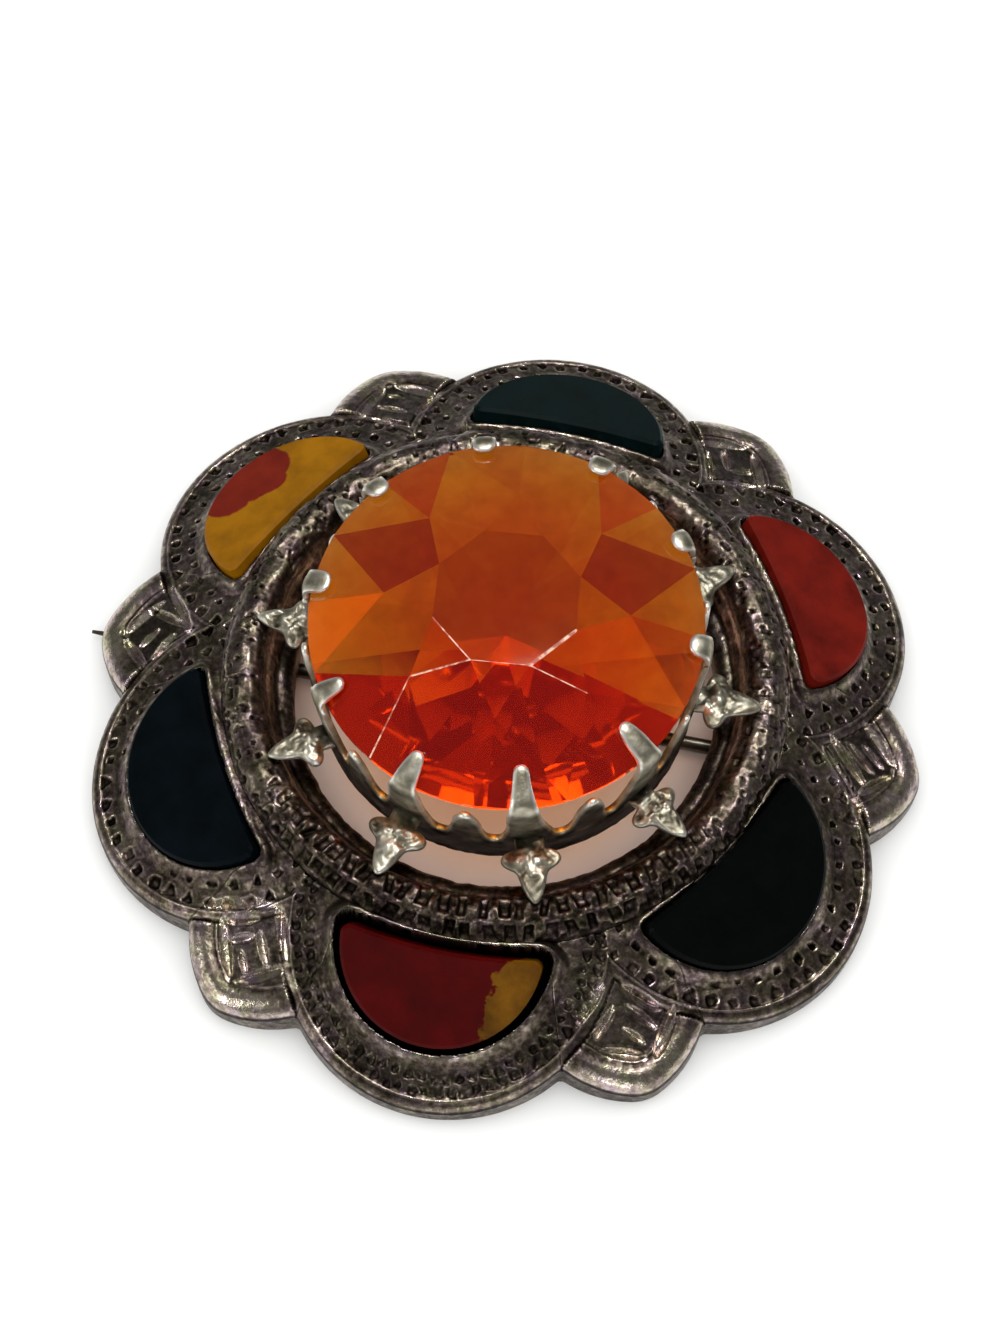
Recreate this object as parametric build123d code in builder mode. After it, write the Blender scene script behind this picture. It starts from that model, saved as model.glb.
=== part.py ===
from build123d import *
import os
from math import atan2, cos, degrees, radians, sin, sqrt

# Pebble brooch: a domed silver frame with six rounded lobes and six engraved leaves, a slab of
# polished stone let into each lobe, a raised ring, and a faceted stone held by the claws of an
# open crown setting that stands on the ring by its trefoil feet. A pin crosses the hollow back.
# Millimetres and degrees. The origin is on the stone's axis, in the plane that the rim rests on.
# +Z is up through the stone's table, and the pin's point is on the -X side.

os.makedirs("parts", exist_ok=True)

# Outline of the frame, where lobes and leaves take turns. Notches and leaves are measured
# inwards from the reach of the lobes.
sector_count = 6
lobe_reach = 23.0
lobe_radius = 8.69
notch_depth = 2.2
notch_round = 0.3
leaf_setback = 0.1
leaf_side_bulge = 0.42
leaf_tip_radius = 2.4

# Dome of the frame, seen in section.
rim_height = 1.35
dome_slope = 0.46
margin_round = 0.35

# Raised ring round the setting, from its border up to the crest and down to the lip and ledge.
ring_outer_radius = 15.1
ring_outer_width = 1.3
ring_rise = 1.5
ring_inner_width = 1.05
ring_inner_drop = 1.2
lip_wall_run = 0.5
lip_wall_drop = 1.2
ledge_width = 0.85
ledge_round_height = 0.5

# Hollow back of the frame.
rim_width = 2.1
hollow_slope_width = 4.3
hollow_edge_depth = 0.9
floor_thickness = 1.5

# Slabs: each is a half-moon on a plane that leans outwards.
slab_lean = 24.0
slab_thickness = 2.1
slab_polish_bevel = 0.18
slab_corner_radius = 0.45
slab_clearance = 0.06
# Columns: name, turn from the lobe's middle in degrees, then shares of the lobe's radius: from
# the lobe's end in to the slab's inner side, depth, half width and hollow of the inner side.
# The last is a share of the slab's thickness: height of the inner side above the dome.
slab_table = [
    ("slab_red_right", -1.3, 0.817, 0.587, 0.616, 0.052, 0.42),
    ("slab_green", -1.3, 0.817, 0.564, 0.627, 0.058, 0.56),
    ("slab_yellow", 0.2, 0.875, 0.633, 0.616, 0.048, 0.41),
    ("slab_dark_left", 0.2, 0.817, 0.633, 0.650, 0.055, 0.35),
    ("slab_red_bottom", -0.3, 0.806, 0.564, 0.593, 0.058, 0.61),
    ("slab_dark_right", -1.7, 0.875, 0.656, 0.650, 0.052, 0.41),
]

# Engraving sunk into each leaf: a groove down both sides of its panel, and rows of slanted cuts
# that shorten towards the leaf's tip.
engraving_depth = 0.3
engraving_width = 0.36
panel_margin = 1.3
panel_length = 4.3
groove_length = 4.2
groove_slant = 30.0
groove_offset = 1.3
cut_count = 3
cut_pitch = 0.95
cut_slant = 55.0
cut_first = 0.5
cut_gap = 0.3
cut_length = 1.2
cut_taper = 0.4

# Faceted centre stone.
stone_radius = 10.1
girdle_rise = 5.1
girdle_thickness = 0.35
crown_depth = 2.8
pavilion_depth = 8.4
facet_symmetry = 8
table_turn = 28.4
table_corner_radius = 3.85
star_tip_radius = 6.2
pavilion_break_radius = 2.6

# Crown setting: a flared band cut into scallops, with long claws and short points.
claw_count = 10
crown_base_radius = 10.2
crown_base_drop = 1.3
crown_wall = 0.55
point_inset = 0.2
point_clearance = 0.1
scallop_depth = 3.8
scallop_radius = 0.88
scallop_offset = 10.0
scallop_spread = 0.2
claw_thickness = 0.6
claw_width = 1.9
claw_neck_width = 1.2
claw_tip_width = 0.75
claw_overlap = 1.85
claw_clearance = 0.06
claw_heel = 0.15
claw_tip_slant = 0.15
claw_bend_radius = 0.7

# Trefoil feet that carry the crown setting on the ring.
foot_tip_inset = 0.2
foot_tip_length = 2.3
foot_tip_half_width = 0.85
foot_tip_bulge = 0.22
foot_waist_length = 0.75
foot_lobe_radius = 0.85
foot_lobe_spread = 0.9
foot_stem_half_width = 0.7
foot_thickness = 0.5
foot_clearance = 0.06
foot_boss_radius = 0.8
foot_boss_sink = 0.35

# Pin with its hinge block and catch, inside the hollow back.
pin_side = 0.2
pin_radius = 0.4
pin_height = 0.5
pin_overhang = 0.7
pin_point_length = 5.0
pin_point_radius = 0.1
barrel_radius = 0.7
barrel_height = 0.8
hinge_inset = 3.7
hinge_length = 3.2
hinge_width = 4.2
catch_inset = 2.9
catch_length = 1.6
catch_width = 2.4
pin_seat_clearance = 0.06
pin_notch_clearance = 0.25

# How far blanks and cutters run on past the shape that they make.
overrun = 1.0

sector_angle = 360 / sector_count
lobe_centre = lobe_reach - lobe_radius
notch_reach = lobe_reach - notch_depth
leaf_reach = lobe_reach - leaf_setback


def polar(reach, turn, height=0.0):
    """Point at a reach from the stone's axis, turned from +X."""
    return Vector(reach * cos(radians(turn)), reach * sin(radians(turn)), height)


def dome_height(reach):
    """Height of the plain dome at a reach from the axis."""
    return rim_height + dome_slope * (lobe_reach - reach)


def plane_through(first, second, third):
    """Plane through three points of the stone, with its normal on the side away from the stone."""
    normal = (second - first).cross(third - first)
    outwards = first - Vector(0, 0, girdle_height)
    if normal.dot(outwards) < 0:
        normal = -normal
    return Plane(origin=first, x_dir=second - first, z_dir=normal)


# Frame: its outline.
notch_x = (notch_reach**2 + lobe_centre**2 - lobe_radius**2) / (2 * lobe_centre)
notch_half_angle = degrees(atan2(sqrt(notch_reach**2 - notch_x**2), notch_x))
leaf_half_angle = sector_angle / 2 - notch_half_angle
leaf_start = polar(notch_reach, -leaf_half_angle)
leaf_end = polar(notch_reach, leaf_half_angle)
leaf_tip = polar(leaf_reach, 0)

with BuildSketch() as leaf_outline:
    with BuildLine():
        SagittaArc(leaf_start, leaf_tip, -leaf_side_bulge)
        SagittaArc(leaf_tip, leaf_end, -leaf_side_bulge)
        Polyline(leaf_end, (0, 0), leaf_start)
    make_face()
    fillet(leaf_outline.vertices().sort_by(Axis.X)[-1], leaf_tip_radius)

with BuildSketch() as frame_outline:
    Circle(lobe_centre)
    with PolarLocations(lobe_centre, sector_count, start_angle=sector_angle / 2):
        Circle(lobe_radius)
    with PolarLocations(0, sector_count):
        add(leaf_outline.sketch)
    notches = frame_outline.vertices().sort_by_distance((0, 0))[: 2 * sector_count]
    fillet(notches, notch_round)

# Frame: its section from the hollow back over the rim, dome and ring to the ledge.
ring_crest_radius = ring_outer_radius - ring_outer_width
ring_crest_height = dome_height(ring_outer_radius) + ring_rise
lip_radius = ring_crest_radius - ring_inner_width
lip_height = ring_crest_height - ring_inner_drop
ledge_outer_radius = lip_radius - lip_wall_run
ledge_inner_radius = ledge_outer_radius - ledge_width
ledge_height = lip_height - lip_wall_drop
hollow_radius = notch_reach - rim_width
hollow_flat_radius = hollow_radius - hollow_slope_width
hollow_depth = ledge_height - floor_thickness
blank_radius = lobe_reach + overrun
blank_height = ring_crest_height + overrun

crest = (ring_crest_radius, ring_crest_height)
lip = (lip_radius, lip_height)
border = (ring_outer_radius, dome_height(ring_outer_radius))
ledge_outer = (ledge_outer_radius, ledge_height)
ledge_inner = (ledge_inner_radius, ledge_height - ledge_round_height)

with BuildSketch(Plane.XZ) as frame_section:
    with BuildLine():
        Polyline(
            ledge_inner,
            (ledge_inner_radius, hollow_depth),
            (hollow_flat_radius, hollow_depth),
            (hollow_radius, hollow_edge_depth),
            (hollow_radius, 0),
            (blank_radius, 0),
            (blank_radius, dome_height(blank_radius)),
            border,
        )
        TangentArc(crest, border, tangent=(1, 0))
        TangentArc(crest, lip, tangent=(-1, 0))
        Line(lip, ledge_outer)
        TangentArc(ledge_outer, ledge_inner, tangent=(-1, 0))
    make_face()

# Frame: the engraving, drawn on one leaf, and the plane of its bottom on every leaf.
panel_middle = leaf_reach - panel_margin - panel_length / 2

with BuildSketch() as leaf_engraving:
    for side in (1, -1):
        with Locations((0, side * groove_offset)):
            Rectangle(groove_length, engraving_width, rotation=-side * groove_slant)
        for row in range(cut_count):
            length = cut_length - row * cut_taper
            start = (cut_first + row * cut_pitch - panel_length / 2, side * cut_gap)
            with Locations(start):
                Rectangle(
                    length,
                    engraving_width,
                    rotation=side * cut_slant,
                    align=(Align.MIN, Align.CENTER),
                )


def leaning_plane(reach, turn, height, lean):
    """Plane at a reach and turn that leans outwards, with its X axis down the slope."""
    slope = radians(lean)
    return Plane(
        origin=polar(reach, turn, height),
        x_dir=polar(cos(slope), turn, -sin(slope)),
        z_dir=polar(sin(slope), turn, cos(slope)),
    )


dome_lean = degrees(atan2(dome_slope, 1))
leaf_planes = []
for leaf in range(sector_count):
    surface = leaning_plane(panel_middle, leaf * sector_angle, dome_height(panel_middle), dome_lean)
    leaf_planes.append(surface.offset(-engraving_depth))


def half_moon(plane, depth, half_width, inner_hollow, grow):
    """Outline of a slab, or of its pocket where it grows by the clearance."""
    with BuildSketch(plane) as outline:
        with BuildLine():
            corners = (-inner_hollow, half_width), (-inner_hollow, -half_width)
            ThreePointArc(corners[0], (depth, 0), corners[1])
            ThreePointArc(corners[1], (0, 0), corners[0])
        make_face()
        fillet(outline.vertices(), slab_corner_radius)
        if grow:
            offset(amount=grow, kind=Kind.ARC)
    return outline.sketch


slabs = []
pockets = []
for lobe, (name, turn, inner, depth, half_width, hollow, rise) in enumerate(slab_table):
    inner_reach = lobe_reach - inner * lobe_radius
    inner_height = dome_height(inner_reach) + rise * slab_thickness
    top = leaning_plane(inner_reach, (lobe + 0.5) * sector_angle + turn, inner_height, slab_lean)
    floor = top.offset(-slab_thickness - slab_clearance)
    sizes = depth * lobe_radius, half_width * lobe_radius, hollow * lobe_radius
    slabs.append((name, half_moon(top, *sizes, 0)))
    pockets.append(half_moon(floor, *sizes, slab_clearance))

with BuildPart() as silver_frame:
    add(frame_outline.sketch)
    extrude(amount=blank_height)
    add(frame_section.sketch)
    revolve(axis=Axis.Z, mode=Mode.INTERSECT)
    dome = silver_frame.faces().filter_by(GeomType.CONE).sort_by(SortBy.AREA)[-1]
    fillet(dome.outer_wire().edges(), margin_round)
    for pocket in pockets:
        extrude(pocket, amount=blank_height, mode=Mode.SUBTRACT)
    for plane in leaf_planes:
        with BuildSketch(plane):
            add(leaf_engraving.sketch)
        extrude(amount=overrun, mode=Mode.SUBTRACT)
    with Locations((-lobe_reach, pin_side, 0)):
        Box(
            2 * (notch_depth + rim_width + pin_notch_clearance),
            2 * (pin_radius + pin_notch_clearance),
            2 * (pin_height + pin_radius + pin_notch_clearance),
            mode=Mode.SUBTRACT,
        )
silver_frame.part.label = "silver_frame"
export_step(silver_frame.part, "parts/silver_frame.step")


# Slabs of polished stone.
for name, outline in slabs:
    with BuildPart() as slab:
        extrude(outline, amount=-slab_thickness)
        top_face = slab.faces().sort_by(Axis.Z)[-1]
        chamfer(top_face.edges(), slab_polish_bevel)
    slab.part.label = name
    export_step(slab.part, f"parts/{name}.step")


# Centre stone: a disc cut down by rows of facets.
girdle_height = ring_crest_height + girdle_rise
girdle_top = girdle_height + girdle_thickness / 2
girdle_bottom = girdle_height - girdle_thickness / 2
table_height = girdle_top + crown_depth
culet_height = girdle_bottom - pavilion_depth
facet_angle = 360 / facet_symmetry
half_facet = facet_angle / 2
crown_slope = crown_depth / (stone_radius - table_corner_radius)
pavilion_slope = pavilion_depth / stone_radius
star_tip_run = star_tip_radius * cos(radians(half_facet)) - table_corner_radius
star_tip_height = table_height - crown_slope * star_tip_run
break_height = culet_height + pavilion_slope * pavilion_break_radius * cos(radians(half_facet))

facets = [Plane(origin=(0, 0, table_height))]
for step in range(facet_symmetry):
    turn = table_turn + step * facet_angle
    table_corner = polar(table_corner_radius, turn, table_height)
    next_corner = polar(table_corner_radius, turn + facet_angle, table_height)
    star_tip = polar(star_tip_radius, turn + half_facet, star_tip_height)
    last_star_tip = polar(star_tip_radius, turn - half_facet, star_tip_height)
    pavilion_break = polar(pavilion_break_radius, turn + half_facet, break_height)
    last_break = polar(pavilion_break_radius, turn - half_facet, break_height)
    edge_above = polar(stone_radius, turn + half_facet, girdle_top)
    edge_below = polar(stone_radius, turn + half_facet, girdle_bottom)
    facets.append(plane_through(table_corner, star_tip, last_star_tip))
    facets.append(plane_through(table_corner, next_corner, star_tip))
    facets.append(plane_through(Vector(0, 0, culet_height), pavilion_break, last_break))
    for end in (turn, turn + facet_angle):
        facets.append(plane_through(star_tip, polar(stone_radius, end, girdle_top), edge_above))
        facets.append(
            plane_through(pavilion_break, polar(stone_radius, end, girdle_bottom), edge_below)
        )

with BuildPart() as centre_stone:
    with BuildSketch(Plane.XY.offset(culet_height)):
        Circle(stone_radius)
    extrude(amount=table_height - culet_height + overrun)
    for facet in facets:
        split(bisect_by=facet, keep=Keep.BOTTOM)
centre_stone.part.label = "centre_stone"
export_step(centre_stone.part, "parts/centre_stone.step")


# Crown setting: levels and radii of its band, which follow the ring and the stone.
crown_base_height = ring_crest_height - crown_base_drop
crown_base_inside = crown_base_radius - crown_wall
point_inside = stone_radius - point_inset
point_outside = point_inside + crown_wall
point_height = culet_height + pavilion_slope * point_inside - point_clearance
scallop_bottom = girdle_height - scallop_depth
scallop_middle = scallop_bottom + scallop_radius
scallop_top = point_height + overrun
scallop_top_half_width = scallop_radius + scallop_spread * (scallop_top - scallop_middle)


def band_inside(height):
    """Radius of the inner side of the band at a height."""
    share = (height - crown_base_height) / (point_height - crown_base_height)
    return crown_base_inside + share * (point_inside - crown_base_inside)


def crown_surface(reach):
    """Height of the stone's upper side where it stands highest at a reach from the axis."""
    rise = (star_tip_height - girdle_top) / (stone_radius - star_tip_radius)
    return girdle_top + rise * (stone_radius - reach)


with BuildPart() as scallop:
    with BuildSketch(Plane.YZ):
        with Locations((0, scallop_middle)):
            Circle(scallop_radius)
        with BuildLine():
            Polyline(
                (scallop_radius, scallop_middle),
                (scallop_top_half_width, scallop_top),
                (-scallop_top_half_width, scallop_top),
                (-scallop_radius, scallop_middle),
                close=True,
            )
        make_face()
    extrude(amount=point_outside + overrun)

# Crown setting: one claw, as its side view cut to its front view.
claw_inside = stone_radius + claw_clearance
claw_outside = claw_inside + claw_thickness
claw_end = stone_radius - claw_overlap
claw_end_height = crown_surface(claw_end) + claw_clearance
claw_end_top = claw_end_height + claw_thickness

with BuildSketch() as claw_side:
    with BuildLine():
        Polyline(
            (band_inside(scallop_bottom), scallop_bottom),
            (claw_inside, girdle_bottom),
            (claw_inside, girdle_top + claw_heel),
            (claw_end, claw_end_height),
            (claw_end + claw_tip_slant, claw_end_top),
            (claw_outside, girdle_top + claw_thickness),
            (claw_outside, girdle_bottom),
            (band_inside(scallop_bottom) + crown_wall, scallop_bottom),
            close=True,
        )
    make_face()
    claw_bend = claw_side.vertices().sort_by_distance((claw_outside, girdle_top + claw_thickness))[0]
    fillet(claw_bend, claw_bend_radius)

with BuildPart() as claw:
    with BuildSketch(Plane.XZ):
        add(claw_side.sketch)
    extrude(amount=claw_width, both=True)
    with BuildSketch(Plane.YZ.offset(claw_end - overrun)):
        with BuildLine():
            Polyline(
                (-claw_width / 2, scallop_bottom),
                (claw_width / 2, scallop_bottom),
                (claw_width / 2, scallop_middle),
                (claw_neck_width / 2, girdle_height),
                (claw_tip_width / 2, claw_end_top),
                (-claw_tip_width / 2, claw_end_top),
                (-claw_neck_width / 2, girdle_height),
                (-claw_width / 2, scallop_middle),
                close=True,
            )
        make_face()
    extrude(amount=stone_radius, mode=Mode.INTERSECT)

# Crown setting: one foot, a trefoil plate with a boss, from inside the band to over the ring.
foot_height = ring_crest_height + foot_clearance
foot_root = crown_base_radius - crown_wall / 2
foot_tip = ring_crest_radius - foot_tip_inset
foot_middle = foot_tip - foot_tip_length
foot_waist = (foot_middle + foot_waist_length, foot_tip_half_width)

with BuildPart() as foot:
    with BuildSketch(Plane.XY.offset(foot_height)):
        with BuildLine():
            Polyline(
                (foot_root, 0),
                (foot_root, foot_stem_half_width),
                (foot_middle, foot_lobe_spread),
                foot_waist,
            )
            SagittaArc(foot_waist, (foot_tip, 0), foot_tip_bulge)
            mirror(about=Plane.XZ)
        make_face()
        with Locations((foot_middle, foot_lobe_spread), (foot_middle, -foot_lobe_spread)):
            Circle(foot_lobe_radius)
    extrude(amount=foot_thickness)
    with Locations((foot_middle, 0, foot_height + foot_thickness - foot_boss_sink)):
        Sphere(foot_boss_radius, arc_size1=0)

with BuildPart() as crown_setting:
    with BuildSketch(Plane.XZ):
        with BuildLine():
            Polyline(
                (crown_base_inside, crown_base_height),
                (crown_base_radius, crown_base_height),
                (point_outside, point_height),
                (point_inside, point_height),
                close=True,
            )
        make_face()
    revolve(axis=Axis.Z)
    for start in (scallop_offset, -scallop_offset):
        with PolarLocations(0, claw_count, start_angle=start):
            add(scallop.part, mode=Mode.SUBTRACT)
    with PolarLocations(0, claw_count):
        add(claw.part)
        add(foot.part)
crown_setting.part.label = "crown_setting"
export_step(crown_setting.part, "parts/crown_setting.step")


# Pin, hinge block and catch in one piece. The blocks are cut to the shape of the hollow back.
hinge_reach = hollow_radius - hinge_inset
catch_reach = hollow_radius - catch_inset
pin_tip = leaf_reach + pin_overhang
stem_length = hinge_reach + pin_tip - pin_point_length
seat_radius = hollow_radius - pin_seat_clearance
seat_depth = hollow_depth - pin_seat_clearance

with BuildPart() as brooch_pin:
    with Locations((hinge_reach, pin_side, barrel_height + hollow_depth / 2)):
        Box(hinge_length, hinge_width, hollow_depth)
    with Locations((-catch_reach, pin_side, barrel_height + hollow_depth / 2)):
        Box(catch_length, catch_width, hollow_depth)
    with BuildSketch(Plane.XZ):
        with BuildLine():
            Polyline(
                (0, 0),
                (seat_radius, 0),
                (seat_radius, hollow_edge_depth - pin_seat_clearance),
                (hollow_flat_radius, seat_depth),
                (0, seat_depth),
                close=True,
            )
        make_face()
    revolve(axis=Axis.Z, mode=Mode.INTERSECT)
    with Locations((hinge_reach, pin_side, barrel_height)):
        Cylinder(barrel_radius, hinge_width, rotation=(90, 0, 0))
    with Locations((-catch_reach, pin_side, barrel_height)):
        Cylinder(barrel_radius, catch_length, rotation=(0, 90, 0))
    with Locations((hinge_reach - stem_length / 2, pin_side, pin_height)):
        Cylinder(pin_radius, stem_length, rotation=(0, 90, 0))
    with Locations((-pin_tip + pin_point_length / 2, pin_side, pin_height)):
        Cone(pin_radius, pin_point_radius, pin_point_length, rotation=(0, -90, 0))
brooch_pin.part.label = "brooch_pin"
export_step(brooch_pin.part, "parts/brooch_pin.step")
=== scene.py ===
"""Pebble brooch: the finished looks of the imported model, laid out as a Blender add-on and run as a script."""

from collections import namedtuple
from math import cos, degrees, hypot, pi, radians, sin, tan

import bmesh
import bpy
import numpy as np
from mathutils import Matrix, Vector


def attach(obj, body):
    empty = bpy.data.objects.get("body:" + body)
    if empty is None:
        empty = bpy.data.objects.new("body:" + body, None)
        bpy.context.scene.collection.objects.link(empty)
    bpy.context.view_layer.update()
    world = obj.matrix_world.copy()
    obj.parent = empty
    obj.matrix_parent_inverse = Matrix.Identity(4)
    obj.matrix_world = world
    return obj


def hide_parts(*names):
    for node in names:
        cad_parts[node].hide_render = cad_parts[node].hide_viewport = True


bl_info = {
    "name": "Pebble brooch",
    "version": (1, 0, 0),
    "blender": (4, 5, 0),
    "location": "3D View > Sidebar > Brooch",
    "description": "Dresses a pebble brooch: oxidised silver, slabs of jasper and a faceted stone",
    "category": "Object",
}

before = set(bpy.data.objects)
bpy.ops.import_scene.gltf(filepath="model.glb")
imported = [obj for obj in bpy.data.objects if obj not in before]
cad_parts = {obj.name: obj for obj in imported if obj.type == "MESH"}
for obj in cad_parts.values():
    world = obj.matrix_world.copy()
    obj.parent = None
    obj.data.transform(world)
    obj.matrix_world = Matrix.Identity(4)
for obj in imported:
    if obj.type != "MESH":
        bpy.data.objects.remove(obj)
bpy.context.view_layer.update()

# Sizes are in millimetres and are turned to metres when a mesh is written.
MM = 0.001
PER_MM = 1000
SECTOR = radians(60)

# Outline of the frame
LOBE_REACH = 23.0
LOBE_RADIUS = 8.69
LOBE_CENTRE = LOBE_REACH - LOBE_RADIUS
LEAF_HALF_ANGLE = radians(10.62)
LEAF_ARC_CENTRE = (16.673, -1.295)
LEAF_ARC_RADIUS = 6.36
LEAF_TIP_CENTRE = 20.415
LEAF_TIP_RADIUS = 2.4
LEAF_TIP_TURN = radians(1.98)
NOTCH_BLEND = 0.12
OUTLINE_CLEARANCE = 0.012

# Dome, ring and hollow back
RIM_HEIGHT = 1.35
DOME_SLOPE = 0.46
MARGIN_ROUND = 0.35
RIM_CHAMFER = 0.1
RING_BORDER = (15.1, 4.984)
RING_CREST = (13.8, 6.484)
RING_LIP = (12.75, 5.284)
LEDGE_OUTER = (12.25, 4.084)
LEDGE_INNER = (11.4, 3.584)
HOLLOW_RADIUS = 18.7
HOLLOW_EDGE_DEPTH = 0.9
HOLLOW_FLAT_RADIUS = 14.4
HOLLOW_DEPTH = 2.584
# Shares of the underside's rows that lie on the rim and on the rim and the hollow's edge.
RIM_SHARE, HOLLOW_EDGE_SHARE = 0.25, 0.35

SLAB_LEAN = radians(24)
SLAB_THICKNESS = 2.1
SLAB_CORNER = 0.45
Slab = namedtuple("Slab", "turn inner depth half hollow inner_height gap")
# Slabs: turn of the lobe with its small error, reach of the inner side, depth, half width, hollow
# of the inner side, height of the inner side, and the gap left round the slab.
SLABS = {
    "slab_red_right": Slab(28.7, 15.90, 5.10, 5.35, 0.45, 5.50, 0.08),
    "slab_green": Slab(88.7, 15.90, 4.90, 5.45, 0.50, 5.79, 0.08),
    "slab_yellow": Slab(150.2, 15.40, 5.50, 5.35, 0.42, 5.71, 0.08),
    "slab_dark_left": Slab(210.2, 15.90, 5.50, 5.65, 0.48, 5.35, 0.08),
    "slab_red_bottom": Slab(269.7, 16.00, 4.90, 5.15, 0.50, 5.85, 0.45),
    "slab_dark_right": Slab(328.3, 15.40, 5.70, 5.65, 0.45, 5.71, 0.08),
}


# Shape helpers
def noise(x, y, size, seed):
    """Smooth random height between -1 and 1 that changes over a size in the units of x and y."""
    lattice = np.random.default_rng(seed).uniform(-1, 1, (256, 256))
    u, v = np.asarray(x) / size, np.asarray(y) / size
    column, row = np.floor(u).astype(int), np.floor(v).astype(int)
    u, v = u - column, v - row
    u, v = u * u * (3 - 2 * u), v * v * (3 - 2 * v)
    column, row = column % 256, row % 256
    right, above = (column + 1) % 256, (row + 1) % 256
    low = lattice[column, row] * (1 - u) + lattice[right, row] * u
    high = lattice[column, above] * (1 - u) + lattice[right, above] * u
    return low * (1 - v) + high * v


def smooth(x, low, high):
    """0 below low, 1 above high and an even curve between."""
    share = np.clip((x - low) / (high - low), 0, 1)
    return share * share * (3 - 2 * share)


def fold(turn, offset=0.0):
    """Turn measured from the middle of the nearest sector."""
    return (turn - offset + SECTOR / 2) % SECTOR - SECTOR / 2


def fold_round(turn):
    """The same turn between minus and plus half a circle."""
    return (turn + pi) % (2 * pi) - pi


def ray_to_circle(turn, x, y, radius):
    """Reach at which a ray from the axis leaves a circle."""
    along = np.cos(turn) * x + np.sin(turn) * y
    return along + np.sqrt(np.maximum(along**2 - x**2 - y**2 + radius**2, 0))


def outline_reach(turn):
    """Reach of the frame's outline at each turn."""
    lobe = ray_to_circle(fold(turn, SECTOR / 2), LOBE_CENTRE, 0, LOBE_RADIUS)
    leaf_turn = np.abs(fold(turn))
    leaf = np.where(
        leaf_turn < LEAF_TIP_TURN,
        ray_to_circle(leaf_turn, LEAF_TIP_CENTRE, 0, LEAF_TIP_RADIUS),
        ray_to_circle(leaf_turn, *LEAF_ARC_CENTRE, LEAF_ARC_RADIUS),
    )
    corner = NOTCH_BLEND * np.exp(-np.abs(lobe - leaf) / NOTCH_BLEND)
    return np.maximum(lobe, leaf) + corner - OUTLINE_CLEARANCE


def dome_height(reach):
    """Height of the plain dome."""
    return RIM_HEIGHT + DOME_SLOPE * (LOBE_REACH - reach)


def carve(height, x, y, marks, depth, burr):
    """Punches marks into a height: each is (x, y, half size, turn, sides, share of the depth)."""
    order = np.argsort(x, axis=None)
    sorted_x, flat_x, flat_y = x.ravel()[order], x.ravel(), y.ravel()
    flat = height.ravel().copy()
    for mark_x, mark_y, size, turn, sides, share in marks:
        reach = 2.4 * size
        first, last = np.searchsorted(sorted_x, (mark_x - reach, mark_x + reach))
        near = order[first:last]
        near = near[np.abs(flat_y[near] - mark_y) < reach]
        from_x, from_y = flat_x[near] - mark_x, flat_y[near] - mark_y
        angle = np.arctan2(from_y, from_x) - turn
        wedge = 2 * pi / sides
        flatness = np.cos((angle + wedge / 2) % wedge - wedge / 2)
        away = np.hypot(from_x, from_y) * (0.35 + 0.65 * flatness) / size
        floor = -depth * share * np.clip((1.0 - away) / 0.45, 0, 1)
        rim = burr * share * np.exp(-(((away - 1.1) / 0.16) ** 2))
        flat[near] += floor + rim
    return flat.reshape(height.shape)


def gouge(height, x, y, start, end, width, depth, lean):
    """Cuts a groove that is pointed at both ends, with its bottom shifted to one side."""
    run_x, run_y = end[0] - start[0], end[1] - start[1]
    length = hypot(run_x, run_y)
    along = ((x - start[0]) * run_x + (y - start[1]) * run_y) / length**2
    aside = ((y - start[1]) * run_x - (x - start[0]) * run_y) / length
    half = width * np.sqrt(np.clip(4 * along * (1 - along), 0, 1)) + 1e-6
    bottom = lean * half
    left = (aside + half) / (bottom + half)
    right = (half - aside) / (half - bottom)
    groove = np.clip(np.minimum(left, right), 0, 1) * half / width
    burr = np.exp(-((np.maximum(aside / half, -aside / half) - 1.12) ** 2) / 0.02) * (half / width)
    inside = (along > 0) & (along < 1)
    return height + np.where(inside, -depth * groove + 0.035 * burr, 0)


def slab_offset(x, y, height, slab):
    """Distance from a slab's outline, measured across its leaning plane, negative under the slab."""
    turn, depth, half, hollow = radians(slab.turn), slab.depth, slab.half, slab.hollow
    outwards = x * cos(turn) + y * sin(turn) - slab.inner
    aside = y * cos(turn) - x * sin(turn)
    down = outwards * cos(SLAB_LEAN) - (height - slab.inner_height) * sin(SLAB_LEAN)
    outer_radius = ((depth + hollow) ** 2 + half**2) / (2 * (depth + hollow))
    inner_radius = (half**2 + hollow**2) / (2 * hollow)
    outer = np.hypot(down - (depth - outer_radius), aside) - outer_radius + SLAB_CORNER
    inner_side = inner_radius - np.hypot(down + inner_radius, aside) + SLAB_CORNER
    corner = np.hypot(np.maximum(outer, 0), np.maximum(inner_side, 0))
    return np.minimum(np.maximum(outer, inner_side), 0) + corner - SLAB_CORNER


def slab_top(x, y, slab):
    """Height of a slab's polished face."""
    turn = radians(slab.turn)
    return slab.inner_height - (x * cos(turn) + y * sin(turn) - slab.inner) * tan(SLAB_LEAN)


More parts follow.
